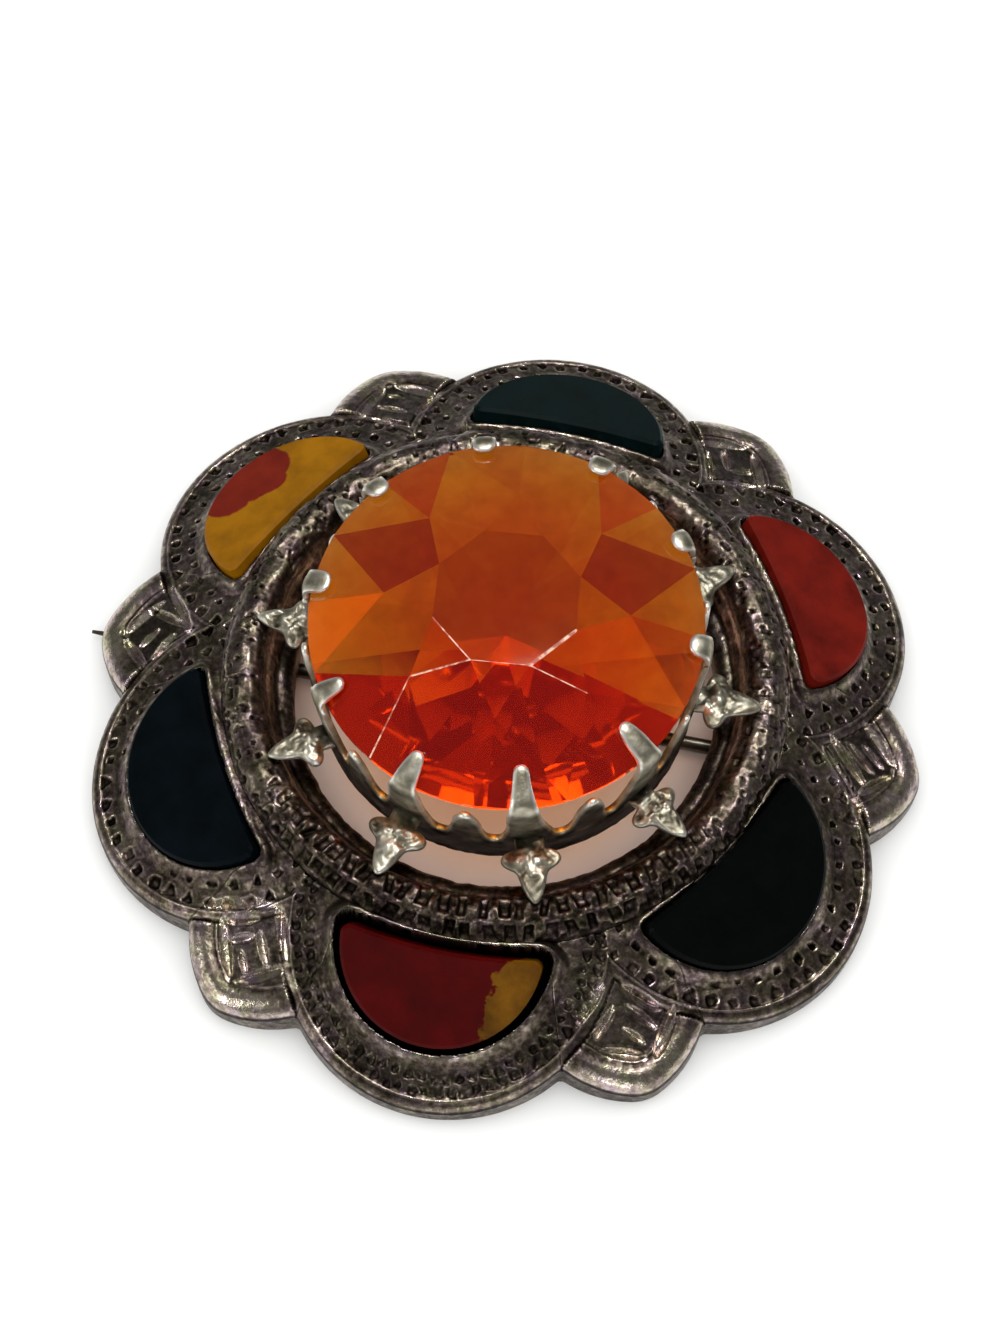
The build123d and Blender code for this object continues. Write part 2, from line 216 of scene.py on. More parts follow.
# Engraving of the leaves: start, end, half width and lean of each cut, outwards along the leaf
# and sideways, one list for each leaf, counted from the one over the pin's hinge.
LEAF_CUTS = [
    [((21.5, 0.2), (19.2, 2.3), 0.36, 0.5), ((21.3, -0.2), (19.5, -2.0), 0.33, -0.5),
     ((17.2, -0.1), (19.9, -3.0), 0.34, 0.4), ((17.5, 0.7), (19.9, -1.5), 0.3, 0.4),
     ((18.4, 0.7), (20.2, -0.6), 0.27, 0.4), ((19.3, 0.9), (20.7, -0.1), 0.22, 0.4)],
    [((21.5, 0.1), (19.2, 2.4), 0.36, 0.5), ((21.3, -0.2), (19.2, -2.4), 0.34, -0.5),
     ((19.1, 1.5), (17.3, -0.2), 0.3, 0.4), ((20.0, 1.0), (18.8, -0.2), 0.26, 0.4),
     ((20.0, -1.4), (18.9, -0.3), 0.25, -0.4), ((19.1, -2.2), (17.7, -0.6), 0.3, -0.4)],
    [((21.4, 0.2), (19.1, 2.4), 0.36, 0.5), ((21.4, -0.2), (19.1, -2.5), 0.34, -0.5),
     ((18.9, 1.9), (17.2, -0.2), 0.3, 0.4), ((19.8, 1.2), (18.6, -0.3), 0.26, 0.4),
     ((20.6, 0.4), (19.9, -0.5), 0.2, 0.4), ((19.3, -2.1), (18.1, -0.7), 0.3, -0.4)],
    [((21.6, 0.5), (19.5, -1.8), 0.35, -0.5), ((21.3, 0.7), (19.6, 2.3), 0.33, 0.5),
     ((17.8, -0.1), (20.3, -1.3), 0.28, -0.4), ((17.3, 0.5), (19.4, -2.7), 0.32, -0.4),
     ((18.3, 0.3), (19.2, 1.9), 0.28, 0.4), ((19.3, 0.0), (20.2, 1.2), 0.24, 0.4)],
    [((21.5, 0.1), (19.25, -2.5), 0.36, -0.5), ((21.3, 0.3), (18.9, 2.1), 0.36, 0.5),
     ((19.94, -0.55), (20.64, 0.52), 0.2, 0.4), ((18.67, -0.43), (19.7, 1.23), 0.27, 0.4),
     ((17.15, -0.39), (18.86, 1.88), 0.32, 0.4), ((19.34, -2.2), (18.18, -0.74), 0.3, -0.4),
     ((19.96, -1.4), (18.97, -0.36), 0.25, -0.4), ((19.4, -3.6), (17.1, -0.3), 0.34, -0.4)],
    [((21.5, 0.8), (19.3, 2.6), 0.36, 0.5), ((21.3, 0.5), (20.3, -1.9), 0.34, -0.5),
     ((17.7, 0.2), (19.35, 1.8), 0.3, 0.4), ((18.6, 0.1), (20.1, 1.4), 0.26, 0.4),
     ((19.6, -0.4), (20.6, 0.6), 0.22, 0.4), ((18.9, -2.6), (17.4, -0.6), 0.3, -0.4),
     ((19.7, -1.9), (18.5, -0.4), 0.26, -0.4)],
]


def woven_tube(x, y, z, full=False, **attributes):
    """Closed tube through a grid of points in millimetres, given as (column, row) arrays. The last
    row meets the first, and a full tube's last column meets its first."""
    columns, rows = x.shape
    bm = bmesh.new()
    bmesh.ops.create_grid(bm, x_segments=columns - 1, y_segments=rows - 1, size=1)
    mesh = bpy.data.meshes.new("woven")
    bm.to_mesh(mesh)
    bm.clear()
    spots = np.empty(columns * rows * 3)
    mesh.vertices.foreach_get("co", spots)
    column = np.rint((spots[0::3] + 1) / 2 * (columns - 1)).astype(int)
    row = np.rint((spots[1::3] + 1) / 2 * (rows - 1)).astype(int)
    points = np.stack((x, y, z), axis=2)[column, row] * MM
    mesh.vertices.foreach_set("co", points.astype(np.float32).ravel())
    for name, values in attributes.items():
        layer = mesh.attributes.new(name, "FLOAT", "POINT")
        layer.data.foreach_set("value", values[column, row].astype(np.float32))
    bm.from_mesh(mesh)
    border = [vertex for vertex in bm.verts if vertex.is_boundary]
    bmesh.ops.remove_doubles(bm, verts=border, dist=1e-7)
    if not full:
        bmesh.ops.holes_fill(bm, edges=[e for e in bm.edges if e.is_boundary], sides=0)
    bmesh.ops.recalc_face_normals(bm, faces=bm.faces)
    bm.to_mesh(mesh)
    bm.free()
    return mesh


def add_piece(mesh, name, materials, node):
    """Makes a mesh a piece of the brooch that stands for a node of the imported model."""
    for material in materials:
        mesh.materials.append(material)
    piece = bpy.data.objects.new(name, mesh)
    bpy.context.scene.collection.objects.link(piece)
    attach(piece, "root")
    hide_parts(node)


def soften(values, times):
    """Averages each value of a grid with its neighbours."""
    for _ in range(times):
        padded = np.pad(values, 1, mode="edge")
        beside = padded[:-2, 1:-1] + padded[2:, 1:-1] + padded[1:-1, :-2] + padded[1:-1, 2:]
        values = (2 * padded[1:-1, 1:-1] + beside) / 6
    return values


# Relief of the lobes and leaves

# Rows of punch marks round a lobe: distance from the edge, spacing, half size, and the turn that
# the row reaches to either side. The bottom lobe's marks are close together and shallower.
BOTTOM_LOBE = 4
MARK_ROWS = ((0.92, 1.10, 0.29, 2.02), (1.90, 1.12, 0.22, 1.85))
BOTTOM_MARK_ROWS = ((0.90, 0.66, 0.25, 2.02), (1.52, 0.66, 0.23, 1.95))
BOTTOM_MARK_SHARE = 0.85
MARK_BURR = 0.022
LINE_FROM_EDGE = 0.52
LEAF_MARGIN, LEAF_PILLOW = 1.45, 0.26
# Height above its surroundings at which the metal is fully worn, and how dark the underside is
# painted, as shade; the ring's pits take the same darkness, as oxide.
FULL_WEAR = 0.08
UNDERSIDE_GRIME = 0.85


def lobe_marks(lobe):
    """Punch marks in two rows round a lobe."""
    chance = np.random.default_rng(40 + lobe)
    turn = SECTOR * (lobe + 0.5)
    rows, deep = (BOTTOM_MARK_ROWS, BOTTOM_MARK_SHARE) if lobe == BOTTOM_LOBE else (MARK_ROWS, 1)
    marks = []
    for from_edge, spacing, size, reach in rows:
        radius = LOBE_RADIUS - from_edge
        count = int(2 * reach * radius / spacing)
        for step in range(count + 1):
            around = -reach + 2 * reach * (step + chance.uniform(-0.12, 0.12)) / count
            away = radius + chance.uniform(-0.1, 0.1)
            along, aside = LOBE_CENTRE + away * cos(around), away * sin(around)
            marks.append((
                along * cos(turn) - aside * sin(turn),
                along * sin(turn) + aside * cos(turn),
                size * chance.uniform(0.75, 1.2),
                turn + around + chance.uniform(-0.4, 0.4),
                int(chance.choice((3, 4, 4))),
                chance.uniform(0.5, 1.15) * deep,
            ))
    return marks


def leaf_inset(along, aside):
    """Distance from a leaf's outline, positive inside the leaf."""
    arc_along, arc_aside = LEAF_ARC_CENTRE
    inset = LEAF_ARC_RADIUS - np.hypot(along - arc_along, np.abs(aside) - arc_aside)
    beyond = along - LEAF_TIP_CENTRE
    at_tip = (np.abs(np.arctan2(aside, beyond)) < radians(19.1)) & (beyond > 0)
    return np.where(at_tip, LEAF_TIP_RADIUS - np.hypot(beyond, aside), inset)


def engrave_leaves(height, turn, leaf_along, leaf_aside, depth):
    """Cuts each leaf's grooves."""
    height = height.copy()
    for number, cuts in enumerate(LEAF_CUTS):
        here = np.abs(fold(turn)) < radians(16)
        here &= np.rint(turn / SECTOR).astype(int) % 6 == number
        patch = height[here]
        for start, end, width, lean in cuts:
            patch = gouge(patch, leaf_along[here], leaf_aside[here], start, end, width, depth, lean)
        height[here] = patch
    return height


def seat_slabs(height, x, y, lobe, around, collar_share):
    """Raises the collars round the slabs and sinks their seats. Also says where pitch shows."""
    pitch = np.zeros_like(height)
    for number, slab in enumerate(SLABS.values()):
        here = lobe == number
        near_x, near_y = x[here], y[here]
        top = slab_top(near_x, near_y, slab)
        plain = dome_height(np.hypot(near_x, near_y))
        offset = slab_offset(near_x, near_y, plain + 0.3, slab) - slab.gap
        rise = np.clip((top - plain) * collar_share, 0.08, 0.9)
        border = smooth(offset, 0.62, 0.42)
        ribs = 0.012 * np.sin(around[here] * 60)
        patch = height[here] * (1 - border) + (plain + ribs) * border
        patch = patch + rise * smooth(offset, 0.85, 0.12)
        seat = top - SLAB_THICKNESS / cos(SLAB_LEAN) - 0.08
        height[here] = np.where(offset < 0, seat, patch)
        pitch[here] = smooth(offset, 0.06, -0.02) + 0.45 * smooth(offset, 0.4, 0.1) * (offset > 0.0)
    return height, pitch


def front_relief(x, y, sizes):
    """Height of the frame's front outside the ring, how far it is darkened (by pitch round the slabs,
    by oxide on the leaves' panels and by painted shade along the bottom lobe's band), the share of
    the cuts' depth that it is cut, and how near it is to a leaf's tip."""
    reach, turn = np.hypot(x, y), np.arctan2(y, x)
    lobe = np.floor(turn / SECTOR).astype(int) % 6
    lobe_turn, leaf_turn = fold(turn, SECTOR / 2), fold(turn)
    along, aside = reach * np.cos(lobe_turn) - LOBE_CENTRE, reach * np.sin(lobe_turn)
    leaf_along, leaf_aside = reach * np.cos(leaf_turn), reach * np.sin(leaf_turn)
    lobe_edge = LOBE_RADIUS - np.hypot(along, aside)
    leaf_edge = leaf_inset(leaf_along, leaf_aside)
    in_leaf = lobe_edge < 0
    edge = np.minimum(np.where(in_leaf, leaf_edge, lobe_edge), outline_reach(turn) - reach)
    edge = np.maximum(edge, 0)

    grain = noise(x, y, 0.9, 3) * 0.6 + noise(x, y, 0.35, 4) * 0.4
    textured = np.where(in_leaf, 0, smooth(lobe_edge, 0.55, 0.75))
    height = dome_height(reach) + grain * (0.02 + 0.05 * textured)
    line = np.exp(-(((lobe_edge - LINE_FROM_EDGE) / 0.06) ** 2)) * np.where(in_leaf, 0, 1)
    height = height + sizes.line_height / MM * line
    marks = [mark for number in range(6) for mark in lobe_marks(number)]
    bent_x, bent_y = x + 0.07 * noise(x, y, 0.28, 21), y + 0.07 * noise(x, y, 0.28, 22)
    marked = carve(height, bent_x, bent_y, marks, sizes.mark_depth / MM, MARK_BURR)
    height = np.where(in_leaf, height, height + (marked - height) * smooth(lobe_edge, 0.5, 0.62))

    margin = smooth(leaf_edge, LEAF_MARGIN + 0.05, LEAF_MARGIN - 0.2)
    pillow = LEAF_PILLOW * np.sin(np.clip(leaf_edge / LEAF_MARGIN, 0, 1) * pi)
    edge_line = 0.09 * np.exp(-(((leaf_edge - LEAF_MARGIN - 0.05) / 0.08) ** 2))
    edge_line = edge_line - 0.06 * smooth(leaf_edge, LEAF_MARGIN + 0.1, LEAF_MARGIN + 0.35)
    uncut = np.where(in_leaf, height + pillow * margin + edge_line, height)
    cut_depth = sizes.cut_depth / MM
    height = engrave_leaves(uncut, turn, leaf_along, leaf_aside, cut_depth)
    cut = (uncut - height) / cut_depth
    # Near a leaf's tip, where a highlight is painted.
    tip = in_leaf * smooth(leaf_along, 20.2, 21.2) * smooth(leaf_edge, 1.3, 0.9)
    panel = in_leaf * (cut < 0.05) * smooth(leaf_edge, 1.5, 1.7)
    # The bottom lobe's band is painted darker, as shade.
    shaded = (lobe == BOTTOM_LOBE) * ~in_leaf * smooth(lobe_edge, 0.6, 0.8) * smooth(lobe_edge, 2.2, 1.9)

    height, pitch = seat_slabs(height, x, y, lobe, np.arctan2(aside, along), sizes.collar_share)
    rounded = MARGIN_ROUND - np.sqrt(np.maximum(MARGIN_ROUND**2 - (MARGIN_ROUND - edge) ** 2, 0))
    drop = np.where(edge < MARGIN_ROUND, rounded, 0)
    return height - drop, np.maximum(pitch, 0.45 * shaded + 0.4 * panel), cut, tip


def back_section(share):
    """Reach and height along the underside, from the rim's outer edge (0) to the ring (1)."""
    shares = (0, RIM_SHARE, HOLLOW_EDGE_SHARE, 1)
    reach = np.interp(share, shares, (0, HOLLOW_RADIUS, HOLLOW_RADIUS, RING_BORDER[0]))
    slope = (HOLLOW_DEPTH - HOLLOW_EDGE_DEPTH) / (HOLLOW_RADIUS - HOLLOW_FLAT_RADIUS)
    up_edge = (share - RIM_SHARE) / (HOLLOW_EDGE_SHARE - RIM_SHARE) * HOLLOW_EDGE_DEPTH
    hollow = HOLLOW_EDGE_DEPTH + slope * (HOLLOW_RADIUS - reach)
    height = np.where(share <= RIM_SHARE, 0, np.where(share < HOLLOW_EDGE_SHARE, up_edge, hollow))
    return reach, height


def joined(meshes, name):
    """One mesh of several."""
    bm = bmesh.new()
    for mesh in meshes:
        bm.from_mesh(mesh)
    whole = bpy.data.meshes.new(name)
    bm.to_mesh(whole)
    bm.free()
    return whole


def make_front(name, spans, sizes, material):
    """Closed wedges of the frame from the ring to the rim, with their front relief and back."""
    front_rows, wall_rows, back_rows = 98, 10, 16
    meshes = []
    for start, end, steps in spans:
        turns = np.linspace(start, end, steps + 1)[:, None]
        outline = outline_reach(turns)
        even = np.ones_like(turns)
        share = np.linspace(0, 1, front_rows)[None, :]
        reach = RING_BORDER[0] + share * (outline - RING_BORDER[0])
        height, pitch, cut, tip = front_relief(reach * np.cos(turns), reach * np.sin(turns), sizes)
        high = (height - soften(height, 6)) * (1 - 0.8 * np.clip(pitch * 2, 0, 1))
        # Besides pitch, the darkening holds the panels' oxide, the bottom lobe's painted shade and oxide in the
        # hollows.
        pitch = np.maximum(np.clip(pitch, 0, 1), 0.75 * smooth(-high, 0.03, 0.12) * (cut < 0.05))
        # Cut faces are bright and their bottoms darker, and each leaf's tip gets a painted highlight.
        high = np.where(cut > 0.05, 0.09 - 0.16 * smooth(cut, 0.8, 1.05), high) + 0.07 * tip
        fall = 1 - np.linspace(0, 1, wall_rows + 1)[None, 1:]
        wall_height = (height[:, -1:] - RIM_CHAMFER) * fall + RIM_CHAMFER
        back_share = np.linspace(0, 1, back_rows)[None, :]
        back_reach, back_height = back_section(back_share)
        flat = outline - RIM_CHAMFER
        rim = flat + (HOLLOW_RADIUS - flat) * np.clip(back_share / RIM_SHARE, 0, 1)
        back_reach = np.where(back_share <= RIM_SHARE, rim, back_reach * even)
        reaches = np.concatenate((reach, outline * np.ones_like(fall), back_reach, reach[:, :1]), axis=1)
        heights = np.concatenate((height, wall_height, back_height * even, height[:, :1]), axis=1)
        filler = np.zeros((steps + 1, wall_rows + back_rows))
        wear = np.concatenate((high, filler, high[:, :1]), axis=1)
        # The wall stays clean and the underside is painted nearly black, as shade.
        under = np.concatenate((filler[:, :wall_rows], UNDERSIDE_GRIME + filler[:, wall_rows:]), axis=1)
        grime = np.concatenate((pitch, under, pitch[:, :1]), axis=1)
        meshes.append(woven_tube(
            reaches * np.cos(turns), reaches * np.sin(turns), heights,
            wear=np.clip(wear / FULL_WEAR, -1, 1), grime=grime,
        ))
    mesh = joined(meshes, name)
    mesh.shade_smooth()
    add_piece(mesh, name, [material], "silver_frame")


# Ring round the setting

# Rows of slots: distance of their middle across the ring, half length and spacing.
SLOT_ROWS = ((1.05, 0.5, 0.98), (2.38, 0.56, 1.0))
SLOT_HALF_WIDTH = 0.33
SLOTTED_TURN = radians(277)
DOT_COUNT, DOT_DEPTH = 88, 0.2
RING_LIFT_LIMIT = 0.07


def arc_from(start, end, count):
    """Points of an arc that leaves its start level and reaches its end."""
    run, drop = end[0] - start[0], end[1] - start[1]
    radius = (run**2 + drop**2) / (2 * abs(drop))
    centre = start[1] + (radius if drop > 0 else -radius)
    last = np.arctan2(abs(run), radius - abs(drop))
    angle = np.linspace(0, last, count)
    side = 1 if run > 0 else -1
    level = -1 if drop > 0 else 1
    reach, height = start[0] + side * radius * np.sin(angle), centre + level * radius * np.cos(angle)
    return np.stack((reach, height), axis=1)


def ring_front(turn):
    """1 along the part of the ring that is cut into slots, 0 elsewhere."""
    from_middle = np.abs(fold_round(turn - SLOTTED_TURN))
    return smooth(from_middle, radians(60), radians(40))


def ring_relief(along, across, depth):
    """Lift of the ring's surface: two rows of narrow slots in front, elsewhere scratches, pits
    and one row of small marks beside the slabs. Sizes are measured along and across the ring."""
    chance = np.random.default_rng(71)
    length = 2 * pi * RING_CREST[0]
    front = ring_front(along / RING_CREST[0])
    on_ring = smooth(across, 0.3, 0.5) * smooth(across, 3.35, 3.2)
    lift = 0.05 * noise(along, across, 0.9, 11) + 0.03 * noise(along, across, 0.35, 12)
    lift = lift + (1 - front) * 0.035 * noise(along * 0.35, across * 2.6, 0.5, 13)
    pits = smooth(noise(along, across, 0.36, 14) + 0.3 * noise(along, across, 0.16, 15), 0.42, 0.75)
    lift = lift - 0.13 * pits * on_ring * (1 - 0.6 * front)
    slots = np.zeros_like(lift)
    for middle, half, spacing in SLOT_ROWS:
        count = int(length / spacing)
        for step in range(count):
            place = (step + chance.uniform(-0.2, 0.2)) * length / count
            wide, long = SLOT_HALF_WIDTH * chance.uniform(0.7, 1.2), half * chance.uniform(0.8, 1.1)
            slant, share = chance.uniform(-0.3, 0.3), chance.uniform(0.55, 1.3)
            first, last = np.searchsorted(along[:, 0], (place - 0.9, place + 0.9))
            near_along, near_across = along[first:last], across[first:last] - middle
            aside = wide - np.abs(near_along - place - slant * near_across)
            ends = long - np.abs(near_across)
            slot = np.clip(np.minimum(aside / 0.13, ends / 0.15), 0, 1) * share
            slots[first:last] = np.maximum(slots[first:last], slot)
    dots = np.zeros_like(lift)
    for step in range(DOT_COUNT):
        place = (step + chance.uniform(-0.2, 0.2)) * length / DOT_COUNT
        size = chance.uniform(0.16, 0.3)
        first, last = np.searchsorted(along[:, 0], (place - 0.6, place + 0.6))
        away = np.hypot(along[first:last] - place, (across[first:last] - 0.72) * 0.8)
        dots[first:last] = np.maximum(dots[first:last], np.clip((size - away) / 0.12, 0, 1))
    lift = lift - depth * slots * front - DOT_DEPTH * dots * (1 - front)
    ragged = 0.10 * noise(along, across, 0.3, 16) * front * on_ring
    return lift + ragged * (slots < 0.1)


def make_ring(name, sizes, material):
    """The raised ring, closed by its underside."""
    outer = arc_from(RING_CREST, RING_BORDER, 20)[::-1]
    inner = arc_from(RING_CREST, RING_LIP, 17)[1:]
    wall = np.linspace(RING_LIP, LEDGE_OUTER, 9)[1:]
    ledge = arc_from(LEDGE_OUTER, LEDGE_INNER, 8)[1:]
    inside = np.array([(LEDGE_INNER[0], 3.1), (LEDGE_INNER[0], HOLLOW_DEPTH)])
    back = np.array([
        (12.4, HOLLOW_DEPTH), (13.4, HOLLOW_DEPTH), (HOLLOW_FLAT_RADIUS, HOLLOW_DEPTH),
        (RING_BORDER[0], 2.31), (RING_BORDER[0], 3.6),
    ])
    front = np.concatenate((outer, inner, wall, ledge))
    rest = np.concatenate((inside, back, front[:1]))
    lip_row = len(outer) + len(inner)
    steps = 1500
    step_length = np.hypot(*np.diff(front, axis=0).T)
    across = np.concatenate(((0,), np.cumsum(step_length)))
    turns = np.linspace(0, 2 * pi, steps + 1)
    slope = np.gradient(front, across, axis=0)
    normal = np.stack((slope[:, 1], -slope[:, 0]), axis=1)
    normal = normal / np.hypot(*normal.T)[:, None]
    grid_along, grid_across = np.meshgrid(turns * RING_CREST[0], across, indexing="ij")
    lift = ring_relief(grid_along, grid_across, sizes.mark_depth / MM * 1.15)
    lift = np.minimum(lift, RING_LIFT_LIMIT) * smooth(grid_across, 0.0, 0.3)
    lift[-1] = lift[0]
    high = lift - soften(lift, 6)
    in_front = ring_front(turns)[:, None]
    lip = np.exp(-(((np.arange(len(front)) - lip_row) / 1.2) ** 2))[None, :]
    # The slotted front is made darker and its raised parts less bright; the lip's crest is made lighter.
    high = np.where(high > 0, high * (1 - 0.45 * in_front), high) - 0.035 * in_front + 0.06 * lip
    filler = np.zeros((steps + 1, len(rest) - 1))
    wear = np.concatenate((high, filler, high[:, :1]), axis=1)
    # Hollows darken with oxide; the ring's inner wall below the ledge and its underside are painted nearly
    # black, as shade.
    dirty = UNDERSIDE_GRIME * smooth(-wear, 0.05, 0.2)
    grime = np.where(np.arange(wear.shape[1]) < len(front), dirty, UNDERSIDE_GRIME)
    around = 0 * turns[:, None]
    reach = np.concatenate((front[:, 0] + normal[:, 0] * lift, rest[:, 0] + around), axis=1)
    height = np.concatenate((front[:, 1] + normal[:, 1] * lift, rest[:, 1] + around), axis=1)
    reach[:, -1], height[:, -1] = reach[:, 0], height[:, 0]
    mesh = woven_tube(
        reach * np.cos(turns)[:, None], reach * np.sin(turns)[:, None], height, full=True,
        wear=np.clip(wear / FULL_WEAR, -1, 1), grime=grime,
    )
    mesh.shade_smooth()
    add_piece(mesh, name, [material], "silver_frame")


# Faceted stone
STONE_RADIUS = 10.1
GIRDLE_TOP, GIRDLE_BOTTOM = 11.759, 11.409
TABLE_HEIGHT = 14.559
FACETS = 8
TABLE_TURN = 28.4
TABLE_CORNER = 3.85
STAR_TIP = 6.2
FACET_TURN = 360 / FACETS
# The pavilion below the girdle is turned against the crown, as the photo's split between amber and
# red asks for.
PAVILION_DEPTH = 4.4
PAVILION_BREAK = 2.6
PAVILION_TURN = -26.0


def at(reach, turn, height):
    """Point at a reach, a turn in degrees and a height."""
    return Vector((reach * cos(radians(turn)), reach * sin(radians(turn)), height))


# Steps whose corner on the girdle isn't midway, and its turn from there in degrees.
GIRDLE_SHIFTS = {4: 8.5}
# Crown edges that show wear: the reach of both ends and their turn from the table's first corner,
# counted in steps, and the width of the worn strip.
WORN_EDGES = [
    ((TABLE_CORNER, 4), (TABLE_CORNER, 5), 0.035),
    ((TABLE_CORNER, 6), (TABLE_CORNER, 7), 0.08),
    ((TABLE_CORNER, 5), (TABLE_CORNER, 6), 0.015),
    ((TABLE_CORNER, 6), (STAR_TIP, 6.5), 0.03),
    ((TABLE_CORNER, 5), (STAR_TIP, 4.5), 0.045),
    ((STAR_TIP, 4.5), (STONE_RADIUS, 4.5 + GIRDLE_SHIFTS[4] / FACET_TURN), 0.045),
]
# Facets beside the girdle with painted reflections: turn and tint, 0.75 orange red, 1 brown red.
STAINED = ((163, 1.0), (141, 0.92), (130, 0.85), (186, 0.8), (207, 0.78), (31, 1.0), (56, 0.8), (2, 0.78))
# The table's tint is painted shade.
TABLE_HAZE = 0.5
# Diffuse share of the facets: elsewhere as scattering in the paste, and at the left side and its
# range in front as a painted glow.
PLAIN_BLOOM, LEFT_BLOOM, FRONT_BLOOM = 0.06, 0.3, (0.12, 0.22)
FRONT_TURN, FRONT_HALF_TURN = 281, 62

# The stone and its setting lean a little towards the side that the photo shows as the front.
SETTING_LEAN = radians(3)
LEAN_AXIS_TURN = radians(10.9)
SETTING_SINK = 0.205


def lean(mesh):
    """Leans a mesh in metres about the middle of the stone's girdle."""
    middle = Vector((0, 0, (GIRDLE_TOP + GIRDLE_BOTTOM) / 2)) * MM
    axis = Vector((cos(LEAN_AXIS_TURN), sin(LEAN_AXIS_TURN), 0))
    sink = Vector((0, 0, SETTING_SINK * MM))
    turned = Matrix.Rotation(SETTING_LEAN, 4, axis)
    mesh.transform(Matrix.Translation(middle - sink) @ turned @ Matrix.Translation(-middle))


def facet_planes():
    """Three points in the plane of each facet but the table."""
    culet = Vector((0, 0, GIRDLE_BOTTOM - PAVILION_DEPTH))
    half = FACET_TURN / 2
    crown_slope = (TABLE_HEIGHT - GIRDLE_TOP) / (STONE_RADIUS - TABLE_CORNER)
    tip_height = TABLE_HEIGHT - crown_slope * (STAR_TIP * cos(radians(half)) - TABLE_CORNER)
    break_height = culet.z + PAVILION_DEPTH / STONE_RADIUS * PAVILION_BREAK * cos(radians(half))
    planes = []
    for step in range(FACETS):
        turn = TABLE_TURN + step * FACET_TURN
        corner = at(TABLE_CORNER, turn, TABLE_HEIGHT)
        next_corner = at(TABLE_CORNER, turn + FACET_TURN, TABLE_HEIGHT)
        tip, last_tip = at(STAR_TIP, turn + half, tip_height), at(STAR_TIP, turn - half, tip_height)
        above = at(STONE_RADIUS, turn + half + GIRDLE_SHIFTS.get(step, 0), GIRDLE_TOP)
        under = turn + PAVILION_TURN
        low = at(PAVILION_BREAK, under + half, break_height)
        last_low = at(PAVILION_BREAK, under - half, break_height)
        below = at(STONE_RADIUS, under + half, GIRDLE_BOTTOM)
        planes += [(corner, tip, last_tip), (corner, next_corner, tip), (culet, low, last_low)]
        for end in (0, FACET_TURN):
            planes.append((tip, at(STONE_RADIUS, turn + end, GIRDLE_TOP), above))
            planes.append((low, at(STONE_RADIUS, under + end, GIRDLE_BOTTOM), below))
    return planes


def wear_edge(bm, start, end, width):
    """Bevels the crown's edges that run between two places, given by reach and steps."""
    first, last = (at(reach, TABLE_TURN + steps * FACET_TURN, 0).xy for reach, steps in (start, end))
    run = last - first
    along = []
    for edge in bm.edges:
        shares = [(v.co.xy - first).dot(run) / run.length_squared for v in edge.verts]
        aside = max(abs((v.co.xy - first).cross(run)) / run.length for v in edge.verts)
        on_crown = min(v.co.z for v in edge.verts) > GIRDLE_TOP - 0.02
        between = 0.02 < sum(shares) / 2 < 0.98 and abs(shares[1] - shares[0]) > 0.05
        if aside < 0.12 and on_crown and between:
            along.append(edge)
    if along:
        bmesh.ops.bevel(
            bm, geom=along, offset=width, offset_type="OFFSET", segments=1, profile=0.5,
            affect="EDGES", material=1,
        )


def turn_between(turn, other):
    """Difference of two turns in degrees, at most half a circle."""
    return abs((turn - other + 180) % 360 - 180)


def tint_facets(mesh):
    """Gives each facet its tint, a painted reflection that is painted shade on the table, and its
    diffuse share: scattered light, made stronger on the front and the left side as a painted glow.
    """
    chance = np.random.default_rng(9)
    hazes, blooms = [], []
    for face in mesh.polygons:
        reach = face.center.xy.length / MM
        turn = degrees(np.arctan2(face.center.y, face.center.x))
        # A random tint, as a painted reflection.
        haze = chance.uniform(0.0, 0.3)
        above = face.center.z > GIRDLE_TOP * MM
        beside_girdle = above and reach > 6.9
        # The table's tint is painted shade, and facets beside the girdle get painted reflections.
        if face.normal.z > 0.999 and reach < 1:
            haze = TABLE_HAZE
        elif beside_girdle:
            haze = max([haze] + [value for where, value in STAINED if turn_between(turn, where) < 9])
        hazes.append(haze)
        # Front facets get a painted glow, and so do those at the left beside the girdle.
        if above and reach > 4.0 and turn_between(turn, FRONT_TURN) < FRONT_HALF_TURN:
            bloom = chance.uniform(*FRONT_BLOOM)
        else:
            bloom = LEFT_BLOOM if beside_girdle and 180 < turn % 360 < 216 else PLAIN_BLOOM
        blooms.append(bloom)
    for label, values in (("haze", hazes), ("bloom", blooms)):
        mesh.attributes.new(label, "FLOAT", "FACE").data.foreach_set("value", values)


